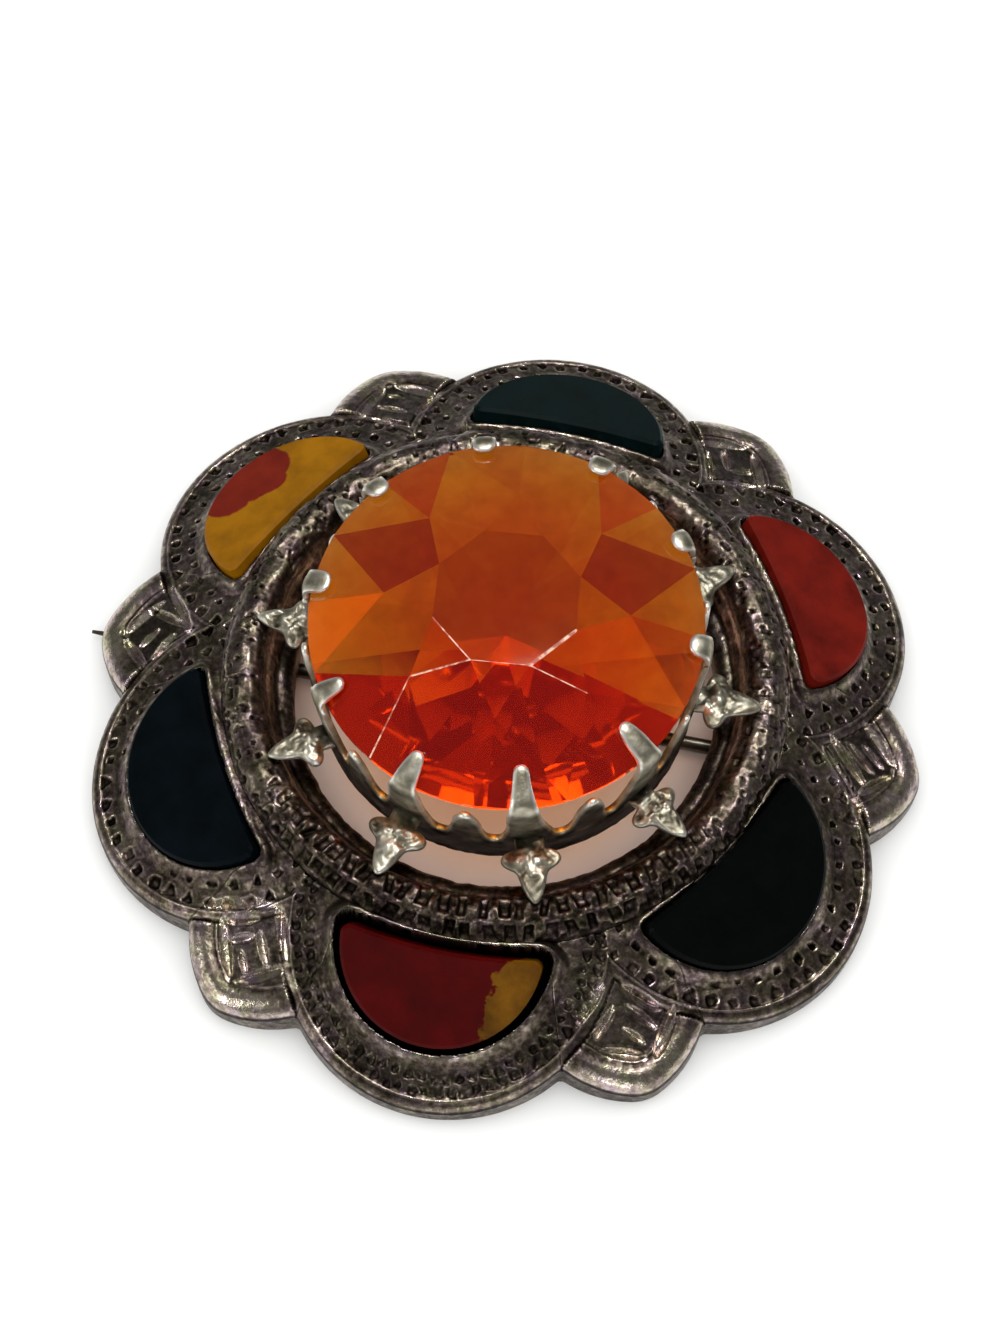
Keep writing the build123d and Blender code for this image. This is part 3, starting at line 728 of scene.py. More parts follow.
def make_stone(name, material, worn):
    """Faceted stone, cut from a disc by one plane for each facet, with a few worn edges."""
    culet = GIRDLE_BOTTOM - PAVILION_DEPTH
    radius = STONE_RADIUS - 0.003
    bm = bmesh.new()
    bmesh.ops.create_cone(
        bm, cap_ends=True, segments=96, radius1=radius, radius2=radius, depth=TABLE_HEIGHT - culet + 1,
        matrix=Matrix.Translation((0, 0, (TABLE_HEIGHT + culet - 1) / 2)),
    )
    middle = Vector((0, 0, (GIRDLE_TOP + GIRDLE_BOTTOM) / 2))
    cuts = [(Vector((0, 0, TABLE_HEIGHT)), Vector((0, 0, 1)))]
    for first, second, third in facet_planes():
        normal = (second - first).cross(third - first).normalized()
        cuts.append((first, normal if normal.dot(first - middle) > 0 else -normal))
    for point, normal in cuts:
        geometry = bm.verts[:] + bm.edges[:] + bm.faces[:]
        cut = bmesh.ops.bisect_plane(
            bm, geom=geometry, dist=1e-5, plane_co=point, plane_no=normal, clear_outer=True,
        )
        rim = [item for item in cut["geom_cut"] if isinstance(item, bmesh.types.BMEdge)]
        bmesh.ops.holes_fill(bm, edges=rim, sides=0)
    bmesh.ops.remove_doubles(bm, verts=bm.verts, dist=0.002)
    bmesh.ops.dissolve_limit(bm, angle_limit=radians(0.4), verts=bm.verts, edges=bm.edges)
    for start, end, width in WORN_EDGES:
        wear_edge(bm, start, end, width)
    bmesh.ops.recalc_face_normals(bm, faces=bm.faces)
    bmesh.ops.scale(bm, vec=(MM, MM, MM), verts=bm.verts)
    mesh = bpy.data.meshes.new(name)
    bm.to_mesh(mesh)
    bm.free()
    mesh.shade_flat()
    tint_facets(mesh)
    lean(mesh)
    add_piece(mesh, name, [material, worn], "centre_stone")


# Crown setting
CLAWS = 10
CLAW_OVERLAPS = (0.8, 0.7, 0.8, 0.7, 0.75, 1.0, 1.2, 1.5, 1.85, 1.85)
CLAW_SWAYS = (2.2, 1.0, 0.0, 0.4, 0.0, 0.4, 0.0, 0.0, -1.8, 0.5)
# A claw that reaches less than this over the stone has a broader end.
SHORT_CLAW, SHORT_CLAW_BREADTH = 1.1, 1.5
BAND_BASE = (9.6, 4.4)
BAND_WALL = 0.55
# Reach at which widths along the band are measured, and half the width of one claw's share of it.
BAND_REACH = 10
BAND_SHARE = pi * BAND_REACH / CLAWS
# Heights along the band's surface, from its base: the scallops' bottom, the short points' tips and
# the place where a claw bends towards the stone.
SCALLOP_LEVEL, POINT_LEVEL, CLAW_BEND = 2.5, 6.85, 7.1
FOOT_HEIGHT, FOOT_MIDDLE = 6.56, 11.3
FOOT_ROOT = 1.45
FOOT_TIP = 2.28
FOOT_SOLE, FOOT_PLATE = 0.14, 0.26


def curve_through(points, count):
    """Evenly spaced points of a smooth curve through the given ones."""
    points = np.asarray(points, float)
    ends = (2 * points[0] - points[1], 2 * points[-1] - points[-2])
    padded = np.concatenate((ends[:1], points, ends[1:]))
    share = np.linspace(0, 1, 24, endpoint=False)[:, None]
    pieces = []
    for a, b, c, d in zip(padded, padded[1:], padded[2:], padded[3:]):
        bend, twist = 2 * a - 5 * b + 4 * c - d, 3 * b - a - 3 * c + d
        pieces.append(0.5 * (2 * b + (c - a) * share + bend * share**2 + twist * share**3))
    dense = np.concatenate(pieces + [points[-1:]])
    length = np.concatenate(((0,), np.cumsum(np.hypot(*np.diff(dense, axis=0).T))))
    even = np.linspace(0, length[-1], count)
    return np.stack([np.interp(even, length, dense[:, axis]) for axis in (0, 1)], axis=1)


def crown_level(reach):
    """Height of the faceted stone's crown at a reach."""
    slope = (TABLE_HEIGHT - GIRDLE_TOP) / (STONE_RADIUS - TABLE_CORNER)
    return TABLE_HEIGHT - slope * (reach - TABLE_CORNER)


def claw_paths(overlap):
    """Path length, reach and height up the inside and the outside of one claw."""
    end = STONE_RADIUS - overlap
    end_height = crown_level(end) + 0.07
    inside = np.array([BAND_BASE, (9.74, 6.9), (10.18, 11.35), (10.18, 11.92), (end, end_height)])
    outside = np.array([
        (BAND_BASE[0] + BAND_WALL, BAND_BASE[1]), (10.28, 6.9), (10.66, 11.2), (10.72, 12.3),
        (end + 0.05, end_height + 0.46),
    ])
    stations = np.concatenate(((0,), np.cumsum(np.hypot(*np.diff(inside, axis=0).T))))
    run = np.linspace(0, stations[-1], 600)
    reach = 35
    kernel = np.ones(2 * reach + 1) / (2 * reach + 1)
    paths = [run] + [np.interp(run, stations, inside[:, axis]) for axis in (0, 1)]
    for axis in (0, 1):
        values = np.interp(run, stations, outside[:, axis])
        low = 2 * values[0] - values[reach:0:-1]
        high = 2 * values[-1] - values[-2 : -reach - 2 : -1]
        rounded = np.convolve(np.concatenate((low, values, high)), kernel, mode="same")
        paths.append(rounded[reach:-reach])
    return paths


def claw_side(side, broad, tip, level, half, jitter):
    """Points from a claw's tip down one side, round the scallop and up to the next short point:
    sideways and upwards. Level and half are the short point's height and half its width."""
    return [
        (side * aside, up) for aside, up in (
            (0.24 * broad, tip - 0.06), (0.38 * broad, tip - 0.28),
            (0.50 * (0.5 + broad / 2) + jitter[0], tip - 0.95), (0.62 + jitter[1], tip - 1.7),
            (0.78, CLAW_BEND), (0.84 + jitter[1], 6.2), (0.98, 4.9), (1.20, 3.6),
            (1.46, SCALLOP_LEVEL + 0.18), (1.76 + jitter[2], SCALLOP_LEVEL),
            (2.05, SCALLOP_LEVEL + 0.2), (2.26, 3.5),
            (BAND_SHARE - half - 0.14, 5.1), (BAND_SHARE - half * 0.86, level - 0.7),
            (BAND_SHARE - half * 0.45, level - 0.12), (BAND_SHARE, level),
        )
    ]


def make_crown(name, material):
    """The scalloped band with its claws and points: one closed shell whose top edge is drawn."""
    columns, rows = 118, 30
    chance = np.random.default_rng(5)
    point_levels = POINT_LEVEL + chance.uniform(-0.3, 0.08, CLAWS)
    point_halves = chance.uniform(0.46, 0.62, CLAWS)
    share = np.linspace(0, 1, rows)
    share = (1 - (1 - share) ** 1.5)[None, :]
    parts = []
    for number in range(CLAWS):
        run, in_reach, in_height, out_reach, out_height = claw_paths(CLAW_OVERLAPS[number])
        tip = run[-1]
        broad = SHORT_CLAW_BREADTH if CLAW_OVERLAPS[number] < SHORT_CLAW else 1.0
        left, right = (
            claw_side(
                side, broad, tip, point_levels[point], point_halves[point], chance.uniform(-0.05, 0.05, 4)
            )
            for side, point in ((-1, number - 1), (1, number))
        )
        drawn = curve_through(left[::-1] + [(0.0, tip)] + right, 2 * columns + 1)
        edge = drawn[::2]
        even = np.linspace(-BAND_SHARE, BAND_SHARE, columns + 1)
        base = 0.55 * edge[:, 0] + 0.45 * even
        aside = base[:, None] + (edge[:, :1] - base[:, None]) * share
        up = edge[:, 1:] * share
        drawn_aside, drawn_up = drawn[None, None, :, 0], drawn[None, None, :, 1]
        gap = np.hypot(aside[:, :, None] - drawn_aside, up[:, :, None] - drawn_up).min(axis=2)
        gap[:, -1] = 0
        inner = [np.interp(up, run, values) for values in (in_reach, in_height)]
        outer = [np.interp(up, run, values) for values in (out_reach, out_height)]
        turned = aside + number * 2 * BAND_SHARE
        dents = 1 - 0.16 * (1 + noise(turned, up, 0.9, 31)) * smooth(up, 0.0, 0.5)
        dents = dents - 0.07 * (1 + noise(turned, up, 0.3, 32))
        outwards = np.sqrt(1 - (1 - np.clip(gap / 0.5, 0, 1)) ** 2) * dents
        inwards = np.sqrt(1 - (1 - np.clip(gap / 0.2, 0, 1)) ** 2)
        middle = [(i + o) / 2 for i, o in zip(inner, outer)]
        half_wall = [(o - i) / 2 for i, o in zip(inner, outer)]
        front = [m + h * outwards for m, h in zip(middle, half_wall)]
        back = [m - h * inwards for m, h in zip(middle, half_wall)]
        turn_reach = np.where(up > CLAW_BEND, np.minimum(middle[0], BAND_REACH), BAND_REACH)
        sway = radians(CLAW_SWAYS[number]) * smooth(up, 2.5, 7.5) * smooth(np.abs(aside), 1.9, 0.9)
        turn = number * 2 * pi / CLAWS + aside / turn_reach + sway
        # Edges are lighter where worn, the claws lighter as they rise and the band darker towards its base.
        wear = smooth(gap, 0.22, 0.03) + 0.5 * smooth(up, 3.4, 6.4) - 0.55 * smooth(up, 2.6, 1.4)
        order = slice(None, -1) if number < CLAWS - 1 else slice(None)
        down = slice(-2, None, -1)
        reach = np.concatenate((front[0], back[0][:, down], front[0][:, :1]), axis=1)
        height = np.concatenate((front[1], back[1][:, down], front[1][:, :1]), axis=1)
        turns = np.concatenate((turn, turn[:, down], turn[:, :1]), axis=1)
        # The inside of the band is painted darker, as shade, and less worn.
        inside_grime = (0.45 * smooth(gap, 0.0, 0.2))[:, down]
        grime = np.concatenate((0.0 * up, inside_grime, 0 * up[:, :1]), axis=1)
        worn = np.concatenate((wear, (wear - 0.4)[:, down], wear[:, :1]), axis=1)
        grids = (reach * np.cos(turns), reach * np.sin(turns), height, worn, grime)
        parts.append([values[order] for values in grids])
    x, y, z, wear, grime = (np.concatenate(group) for group in zip(*parts))
    for values in (x, y, z):
        values[-1] = values[0]
    mesh = woven_tube(x, y, z, full=True, wear=wear, grime=grime)
    lean(mesh)
    mesh.shade_smooth()
    mesh.set_sharp_from_angle(angle=radians(55))
    add_piece(mesh, name, [material], "crown_setting")


def foot_outline(turn):
    """Reach of a trefoil foot's outline from its middle, at each turn from its tip."""
    around = np.abs(fold_round(turn))
    lobe = 0.82 + 0.72 * np.exp(-(((around - radians(97)) / radians(30)) ** 2))
    tip = 0.82 + 1.48 * np.exp(-((around / radians(27)) ** 1.3))
    root = FOOT_ROOT / np.maximum(-np.cos(around), 0.05)
    side = 0.72 / np.maximum(np.sin(around), 0.05)
    stem = np.where(np.cos(around) < -0.05, np.minimum(root, side), 0)
    reach = np.maximum(lobe, np.maximum(tip, stem))
    return reach + 0.08 * np.exp(-np.abs(lobe - tip) / 0.12)


def make_feet(name, material):
    """Ten trefoil feet, each hammered out of a flattened ball."""
    bm = bmesh.new()
    bmesh.ops.create_uvsphere(bm, u_segments=90, v_segments=44, radius=1)
    ball = bpy.data.meshes.new("foot")
    bm.to_mesh(ball)
    bm.free()
    spots = np.empty(len(ball.vertices) * 3)
    ball.vertices.foreach_get("co", spots)
    spots = spots.reshape(-1, 3)
    sideways = np.hypot(spots[:, 0], spots[:, 1])
    around = np.arctan2(spots[:, 1], spots[:, 0])
    out = np.arccos(np.clip(np.abs(spots[:, 2]), 0, 1)) / (pi / 2)
    out = np.where(sideways > 1e-6, out, 0)
    top = spots[:, 2] > 1e-6
    chance = np.random.default_rng(17)
    meshes = []
    for number in range(CLAWS):
        stretch = 1 + chance.uniform(-0.06, 0.06)
        reach = foot_outline(around + chance.uniform(-0.08, 0.08)) * out * stretch
        reach = np.where(np.abs(around) < radians(12), np.minimum(reach, FOOT_TIP), reach)
        along, aside = reach * np.cos(around), reach * np.sin(around)
        along = np.maximum(along, -FOOT_ROOT)
        boss = 0.20 * np.exp(-((along**2 + aside**2) / 0.5))
        ridge = 0.07 * np.exp(-((aside / 0.2) ** 2)) * smooth(along, 0.3, 0.8) * smooth(along, 2.3, 1.2)
        own_along = along + 20 * number
        dents = 0.10 * noise(own_along, aside, 0.55, 41) + 0.05 * noise(own_along, aside, 0.2, 42)
        plate = FOOT_PLATE * np.sqrt(np.clip(1 - out**7, 0, 1)) * (1 - 0.35 * smooth(along, 1.0, 2.3))
        hammered = (boss + ridge + dents) * smooth(out, 1.0, 0.8)
        lift = np.where(top, FOOT_SOLE + plate + hammered, FOOT_SOLE * out**8)
        turn = number * 2 * pi / CLAWS
        from_axis = FOOT_MIDDLE + along
        x = from_axis * cos(turn) - aside * sin(turn)
        y = from_axis * sin(turn) + aside * cos(turn)
        points = np.stack((x, y, FOOT_HEIGHT + lift), axis=1) * MM
        mesh = ball.copy()
        mesh.vertices.foreach_set("co", points.astype(np.float32).ravel())
        worn = smooth(out, 0.85, 1.0) * 0.5 + boss * 1.2 + ridge * 2 + dents * 4.0 + 0.5
        for label, values in (("wear", worn), ("grime", 0 * worn)):
            layer = mesh.attributes.new(label, "FLOAT", "POINT")
            layer.data.foreach_set("value", values.astype(np.float32))
        meshes.append(mesh)
    mesh = joined(meshes, name)
    mesh.shade_smooth()
    add_piece(mesh, name, [material], "crown_setting")


# Materials
def linear(code):
    """Linear colour of an sRGB hex value such as #A06020."""
    values = [int(code[i : i + 2], 16) / 255 for i in (1, 3, 5)]
    return [v / 12.92 if v <= 0.04045 else ((v + 0.055) / 1.055) ** 2.4 for v in values] + [1.0]


def add_node(tree, kind, settings=None, **links):
    """Adds a node. Settings hold its properties and socket values, links its inputs by name, with
    each space as an underscore."""
    node = tree.nodes.new(kind)
    for key, value in (settings or {}).items():
        if isinstance(key, str) and hasattr(node, key):
            setattr(node, key, value)
        else:
            node.inputs[key].default_value = value
    for key, source in links.items():
        if key.startswith("at_"):
            tree.links.new(source, node.inputs[int(key[3:])])
        else:
            tree.links.new(source, node.inputs[key.replace("_", " ")])
    return node


def new_material(name):
    """A material with an empty tree and its output."""
    material = bpy.data.materials.new(name)
    material.use_nodes = True
    tree = material.node_tree
    tree.nodes.clear()
    return material, tree, tree.nodes.new("ShaderNodeOutputMaterial")


def ramp(tree, source, stops):
    """Colour ramp through stops of (place, colour), where a colour is a hex value or linear."""
    node = add_node(tree, "ShaderNodeValToRGB", Fac=source)
    while len(node.color_ramp.elements) < len(stops):
        node.color_ramp.elements.new(0.5)
    for element, (place, colour) in zip(node.color_ramp.elements, stops):
        element.position = place
        element.color = linear(colour) if isinstance(colour, str) else colour
    return node.outputs["Color"]


def oxidised_silver():
    """Sterling silver, cast and engraved, then oxidised and rubbed: nearly black in the cuts,
    brown-grey and finely stippled on the flats, with thin violet and olive films of tarnish,
    lighter on worn edges. Its darkening also holds painted shade, and its lightening a painted
    highlight on each leaf's tip."""
    material, tree, out = new_material("oxidised_silver")
    place = add_node(tree, "ShaderNodeTexCoord").outputs["Object"]
    wear = add_node(tree, "ShaderNodeAttribute", {"attribute_name": "wear"}).outputs["Fac"]
    grime = add_node(tree, "ShaderNodeAttribute", {"attribute_name": "grime"}).outputs["Fac"]
    patches = add_node(
        tree, "ShaderNodeTexNoise", {"Scale": PER_MM / 2.1, "Detail": 5.0, "Roughness": 0.6}, Vector=place
    ).outputs["Fac"]
    stipple = add_node(
        tree, "ShaderNodeTexNoise", {"Scale": PER_MM / 0.35, "Detail": 4.0, "Roughness": 0.65}, Vector=place
    ).outputs["Fac"]
    level = add_node(tree, "ShaderNodeMath", {"operation": "MULTIPLY_ADD", 1: 0.8, 2: -0.4}, at_0=patches)
    level = level.outputs["Value"]
    for amount, source in ((0.95, stipple), (0.34, wear)):
        level = add_node(
            tree, "ShaderNodeMath", {"operation": "MULTIPLY_ADD", 1: amount}, at_0=source, at_2=level
        ).outputs["Value"]
    level = add_node(tree, "ShaderNodeMath", {"operation": "ADD", 1: 0.06}, at_0=level).outputs["Value"]
    colour = ramp(tree, level, [
        (0.05, "#0C0908"), (0.3, "#2C2723"), (0.5, "#56504B"), (0.7, "#88827D"), (0.95, "#D2CFCA"),
    ])
    films = add_node(
        tree, "ShaderNodeTexNoise", {"Scale": PER_MM / 1.3, "Detail": 3.0, "Roughness": 0.7}, Vector=place
    ).outputs["Fac"]
    film = ramp(tree, films, [(0.36, "#F0DCEA"), (0.5, "#FFF1E4"), (0.66, "#E6E6C4")])
    colour = add_node(
        tree, "ShaderNodeMix", {"data_type": "RGBA", "blend_type": "MULTIPLY", 0: 1.0}, at_6=colour, at_7=film
    ).outputs[2]
    colour = add_node(
        tree, "ShaderNodeMix", {"data_type": "RGBA", 7: linear("#040404")}, at_0=grime, at_6=colour
    ).outputs[2]
    rough = add_node(
        tree, "ShaderNodeMapRange", {"From Min": 0.2, "From Max": 0.9, "To Min": 0.55, "To Max": 0.26},
        Value=level,
    ).outputs["Result"]
    bump = add_node(tree, "ShaderNodeBump", {"Strength": 0.7, "Distance": 0.06 * MM}, Height=stipple)
    shader = add_node(
        tree, "ShaderNodeBsdfPrincipled", {"Metallic": 1.0},
        Base_Color=colour, Roughness=rough, Normal=bump.outputs["Normal"],
    )
    tree.links.new(shader.outputs["BSDF"], out.inputs["Surface"])
    return material


def setting_silver():
    """Silver of the setting, hammered and pickled: white where the claws and edges rub against
    cloth, greenish grey with tarnish on the feet, and painted nearly black inside the band as shade."""
    material, tree, out = new_material("setting_silver")
    place = add_node(tree, "ShaderNodeTexCoord").outputs["Object"]
    wear = add_node(tree, "ShaderNodeAttribute", {"attribute_name": "wear"}).outputs["Fac"]
    grime = add_node(tree, "ShaderNodeAttribute", {"attribute_name": "grime"}).outputs["Fac"]
    patches = add_node(
        tree, "ShaderNodeTexNoise", {"Scale": PER_MM / 1.1, "Detail": 4.0}, Vector=place
    ).outputs["Fac"]
    hammering = add_node(
        tree, "ShaderNodeTexNoise", {"Scale": PER_MM / 0.25, "Detail": 3.0}, Vector=place
    ).outputs["Fac"]
    level = add_node(tree, "ShaderNodeMath", {"operation": "MULTIPLY_ADD", 1: 0.9, 2: -0.2}, at_0=patches)
    level = add_node(
        tree, "ShaderNodeMath", {"operation": "MULTIPLY_ADD", 1: 0.42},
        at_0=wear, at_2=level.outputs["Value"],
    ).outputs["Value"]
    colour = ramp(tree, level, [
        (0.0, "#16130F"), (0.22, "#454036"), (0.45, "#8E8876"), (0.62, "#C9C4B2"), (0.85, "#F1EEE4"),
    ])
    colour = add_node(
        tree, "ShaderNodeMix", {"data_type": "RGBA", 7: linear("#0B0906")}, at_0=grime, at_6=colour
    ).outputs[2]
    rough = add_node(
        tree, "ShaderNodeMapRange", {"From Min": 0.1, "From Max": 0.7, "To Min": 0.52, "To Max": 0.44},
        Value=level,
    ).outputs["Result"]
    bump = add_node(tree, "ShaderNodeBump", {"Strength": 0.4, "Distance": 0.05 * MM}, Height=hammering)
    shader = add_node(
        tree, "ShaderNodeBsdfPrincipled", {"Metallic": 1.0},
        Base_Color=colour, Roughness=rough, Normal=bump.outputs["Normal"],
    )
    tree.links.new(shader.outputs["BSDF"], out.inputs["Surface"])
    return material


def pin_metal():
    """Drawn silver wire, left dull: grey brown in soft patches."""
    material, tree, out = new_material("pin_metal")
    place = add_node(tree, "ShaderNodeTexCoord").outputs["Object"]
    patches = add_node(tree, "ShaderNodeTexNoise", {"Scale": PER_MM / 1.2, "Detail": 3.0}, Vector=place)
    colour = ramp(tree, patches.outputs["Fac"], [(0.3, "#3C382F"), (0.7, "#7C766A")])
    shader = add_node(
        tree, "ShaderNodeBsdfPrincipled", {"Metallic": 1.0, "Roughness": 0.35}, Base_Color=colour
    )
    tree.links.new(shader.outputs["BSDF"], out.inputs["Surface"])
    return material


def faceted_stone():
    """Amber-coloured paste, cut and polished: light amber where the light crosses it once, deep
    red where it turns inside the stone. Each facet's tint is a painted reflection, standing in for
    the inner reflections of the real one, and the table's darker tint is painted shade. A faint
    diffuse layer scatters light in the paste, made stronger on the front and the left side as a
    painted glow. Shadow and diffuse rays pass straight, so the light reaches the floor below."""
    material, tree, out = new_material("orange_stone")
    place = add_node(tree, "ShaderNodeTexCoord").outputs["Object"]
    haze = add_node(tree, "ShaderNodeAttribute", {"attribute_name": "haze"}).outputs["Fac"]
    clouds = add_node(
        tree, "ShaderNodeTexNoise", {"Scale": PER_MM / 1.4, "Detail": 4.0}, Vector=place
    ).outputs["Fac"]
    # Each facet's tint is a painted reflection; the table's is painted shade.
    tint = ramp(tree, haze, [
        (0.0, "#FAD86C"), (0.3, "#EAB24A"), (0.5, "#BE7A30"), (0.75, "#F06A1C"), (1.0, "#963610"),
    ])
    cloud = ramp(tree, clouds, [(0.35, "#E8E0D8"), (0.6, "#FFFFFF")])
    colour = add_node(
        tree, "ShaderNodeMix", {"data_type": "RGBA", "blend_type": "MULTIPLY", 0: 1.0}, at_6=tint, at_7=cloud
    ).outputs[2]
    scratches = add_node(tree, "ShaderNodeBump", {"Strength": 0.06, "Distance": 0.03 * MM}, Height=clouds)
    glass = add_node(
        tree, "ShaderNodeBsdfPrincipled", {"Roughness": 0.03, "IOR": 1.52, "Transmission Weight": 1.0},
        Base_Color=colour, Normal=scratches.outputs["Normal"],
    ).outputs["BSDF"]
    # A diffuse layer: scattering in the paste, made stronger as a painted glow on the front and left facets.
    bloom = add_node(tree, "ShaderNodeAttribute", {"attribute_name": "bloom"}).outputs["Fac"]
    dust = ramp(tree, bloom, [(0.06, "#E83004"), (0.12, "#F01400"), (0.22, "#F42400"), (0.3, "#FF5C08")])
    milk = add_node(tree, "ShaderNodeBsdfDiffuse", Color=dust).outputs["BSDF"]
    body = add_node(tree, "ShaderNodeMixShader", at_0=bloom, at_1=glass, at_2=milk).outputs["Shader"]
    path = add_node(tree, "ShaderNodeLightPath").outputs
    straight = add_node(
        tree, "ShaderNodeMath", {"operation": "MAXIMUM"},
        at_0=path["Is Shadow Ray"], at_1=path["Is Diffuse Ray"],
    ).outputs["Value"]
    clear = add_node(tree, "ShaderNodeBsdfTransparent", {"Color": (0.7, 0.5, 0.28, 1)}).outputs["BSDF"]
    surface = add_node(tree, "ShaderNodeMixShader", at_0=straight, at_1=body, at_2=clear)
    tree.links.new(surface.outputs["Shader"], out.inputs["Surface"])
    depth = add_node(
        tree, "ShaderNodeVolumeAbsorption", {"Color": (0.988, 0.885, 0.0, 1), "Density": 1.2 * PER_MM}
    )
    tree.links.new(depth.outputs["Volume"], out.inputs["Volume"])
    return material


def worn_edge():
    """The same paste where a facet's edge is chipped and ground dull: a thin pinkish white line."""
    material, tree, out = new_material("worn_paste")
    place = add_node(tree, "ShaderNodeTexCoord").outputs["Object"]
    chips = add_node(tree, "ShaderNodeTexNoise", {"Scale": PER_MM / 0.4, "Detail": 2.0}, Vector=place)
    colour = ramp(tree, chips.outputs["Fac"], [(0.42, "#A8431C"), (0.56, "#E8B59A")])
    shader = add_node(tree, "ShaderNodeBsdfPrincipled", {"Roughness": 0.5}, Base_Color=colour)
    tree.links.new(shader.outputs["BSDF"], out.inputs["Surface"])
    return material


def patch_mask(tree, place, spots, raggedness):
    """1 inside a patch with a ragged edge, given by the middles and radii of its spots in
    millimetres, 0 outside."""
    nearest = None
    for x, y, z, radius in spots:
        middle = (x * MM, y * MM, z * MM)
        away = add_node(tree, "ShaderNodeVectorMath", {"operation": "DISTANCE", 1: middle}, at_0=place)
        away = add_node(
            tree, "ShaderNodeMath", {"operation": "MULTIPLY_ADD", 1: PER_MM, 2: -radius},
            at_0=away.outputs["Value"],
        ).outputs["Value"]
        if nearest:
            away = add_node(
                tree, "ShaderNodeMath", {"operation": "MINIMUM"}, at_0=nearest, at_1=away
            ).outputs["Value"]
        nearest = away
    edge = add_node(
        tree, "ShaderNodeTexNoise", {"Scale": PER_MM / 1.6, "Detail": 4.0, "Roughness": 0.6}, Vector=place
    )
    ragged = add_node(
        tree, "ShaderNodeMath", {"operation": "MULTIPLY_ADD", 1: raggedness},
        at_0=edge.outputs["Fac"], at_2=nearest,
    )
    middle = 0.5 * raggedness
    return add_node(
        tree, "ShaderNodeMapRange", {"From Min": middle + 0.06, "From Max": middle - 0.06},
        Value=ragged.outputs["Value"],
    ).outputs["Result"]


def polished_slab(name, own, patch=None, spots=(), raggedness=2.6):
    """Jasper or agate, sawn, ground and polished long ago: an even colour with faint clouds and
    fine scratches. Its own colour and a patch's are pairs of the plain and the clouded colour."""
    material, tree, out = new_material(name)
    place = add_node(tree, "ShaderNodeTexCoord").outputs["Object"]
    clouds = add_node(
        tree, "ShaderNodeTexNoise", {"Scale": PER_MM / 2.2, "Detail": 6.0, "Roughness": 0.6}, Vector=place
    ).outputs["Fac"]
    colour = ramp(tree, clouds, [(0.3, own[1]), (0.62, own[0])])
    if patch:
        inside = patch_mask(tree, place, spots, raggedness)
        patchy = ramp(tree, clouds, [(0.35, patch[1]), (0.65, patch[0])])
        colour = add_node(
            tree, "ShaderNodeMix", {"data_type": "RGBA"}, at_0=inside, at_6=colour, at_7=patchy
        ).outputs[2]
    grain = add_node(
        tree, "ShaderNodeTexNoise", {"Scale": PER_MM / 0.3, "Detail": 3.0}, Vector=place
    ).outputs["Fac"]
    rough = add_node(tree, "ShaderNodeMapRange", {"To Min": 0.34, "To Max": 0.5}, Value=grain)
    bump = add_node(tree, "ShaderNodeBump", {"Strength": 0.08, "Distance": 0.03 * MM}, Height=grain)
    shader = add_node(
        tree, "ShaderNodeBsdfPrincipled", {"Specular IOR Level": 0.05},
        Base_Color=colour, Roughness=rough.outputs["Result"], Normal=bump.outputs["Normal"],
    )
    tree.links.new(shader.outputs["BSDF"], out.inputs["Surface"])
    return material


def painted_floor():
    """A matt painted floor: one plain pale colour."""
    material, tree, out = new_material("pale_floor")
    shader = add_node(
        tree, "ShaderNodeBsdfPrincipled", {"Base Color": linear("#F4F4F2"), "Roughness": 0.6}
    )
    tree.links.new(shader.outputs["BSDF"], out.inputs["Surface"])
    return material


def wear_node(name, material):
    """Gives a carried-over CAD node its material."""
    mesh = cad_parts[name].data
    mesh.materials.clear()
    mesh.materials.append(material)


class BroochSizes(bpy.types.PropertyGroup):
    """Sizes of the frame's relief"""

    mark_depth: bpy.props.FloatProperty(
        name="Mark depth", description="Depth of the punched marks", default=0.25 * MM,
        min=0.05 * MM, max=0.6 * MM, precision=5, subtype="DISTANCE", unit="LENGTH",
    )
    cut_depth: bpy.props.FloatProperty(
        name="Cut depth", description="Depth of the leaves' engraved cuts", default=0.31 * MM,
        min=0.05 * MM, max=0.6 * MM, precision=5, subtype="DISTANCE", unit="LENGTH",
    )
    line_height: bpy.props.FloatProperty(
        name="Line height", description="Height of the thin line round each lobe", default=0.13 * MM,
        min=0, max=0.4 * MM, precision=5, subtype="DISTANCE", unit="LENGTH",
    )
    collar_share: bpy.props.FloatProperty(
        name="Collar height", description="Share of a slab's height that the metal round it reaches",
        default=0.45, min=0.1, max=0.9, subtype="FACTOR",
    )


def slab_colour(name, code):
    """A colour of a slab that a user can change, with its sRGB hex value."""
    return bpy.props.FloatVectorProperty(
        name=name, description=f"{name} of the polished face", default=linear(code),
        size=4, min=0, max=1, subtype="COLOR",
    )


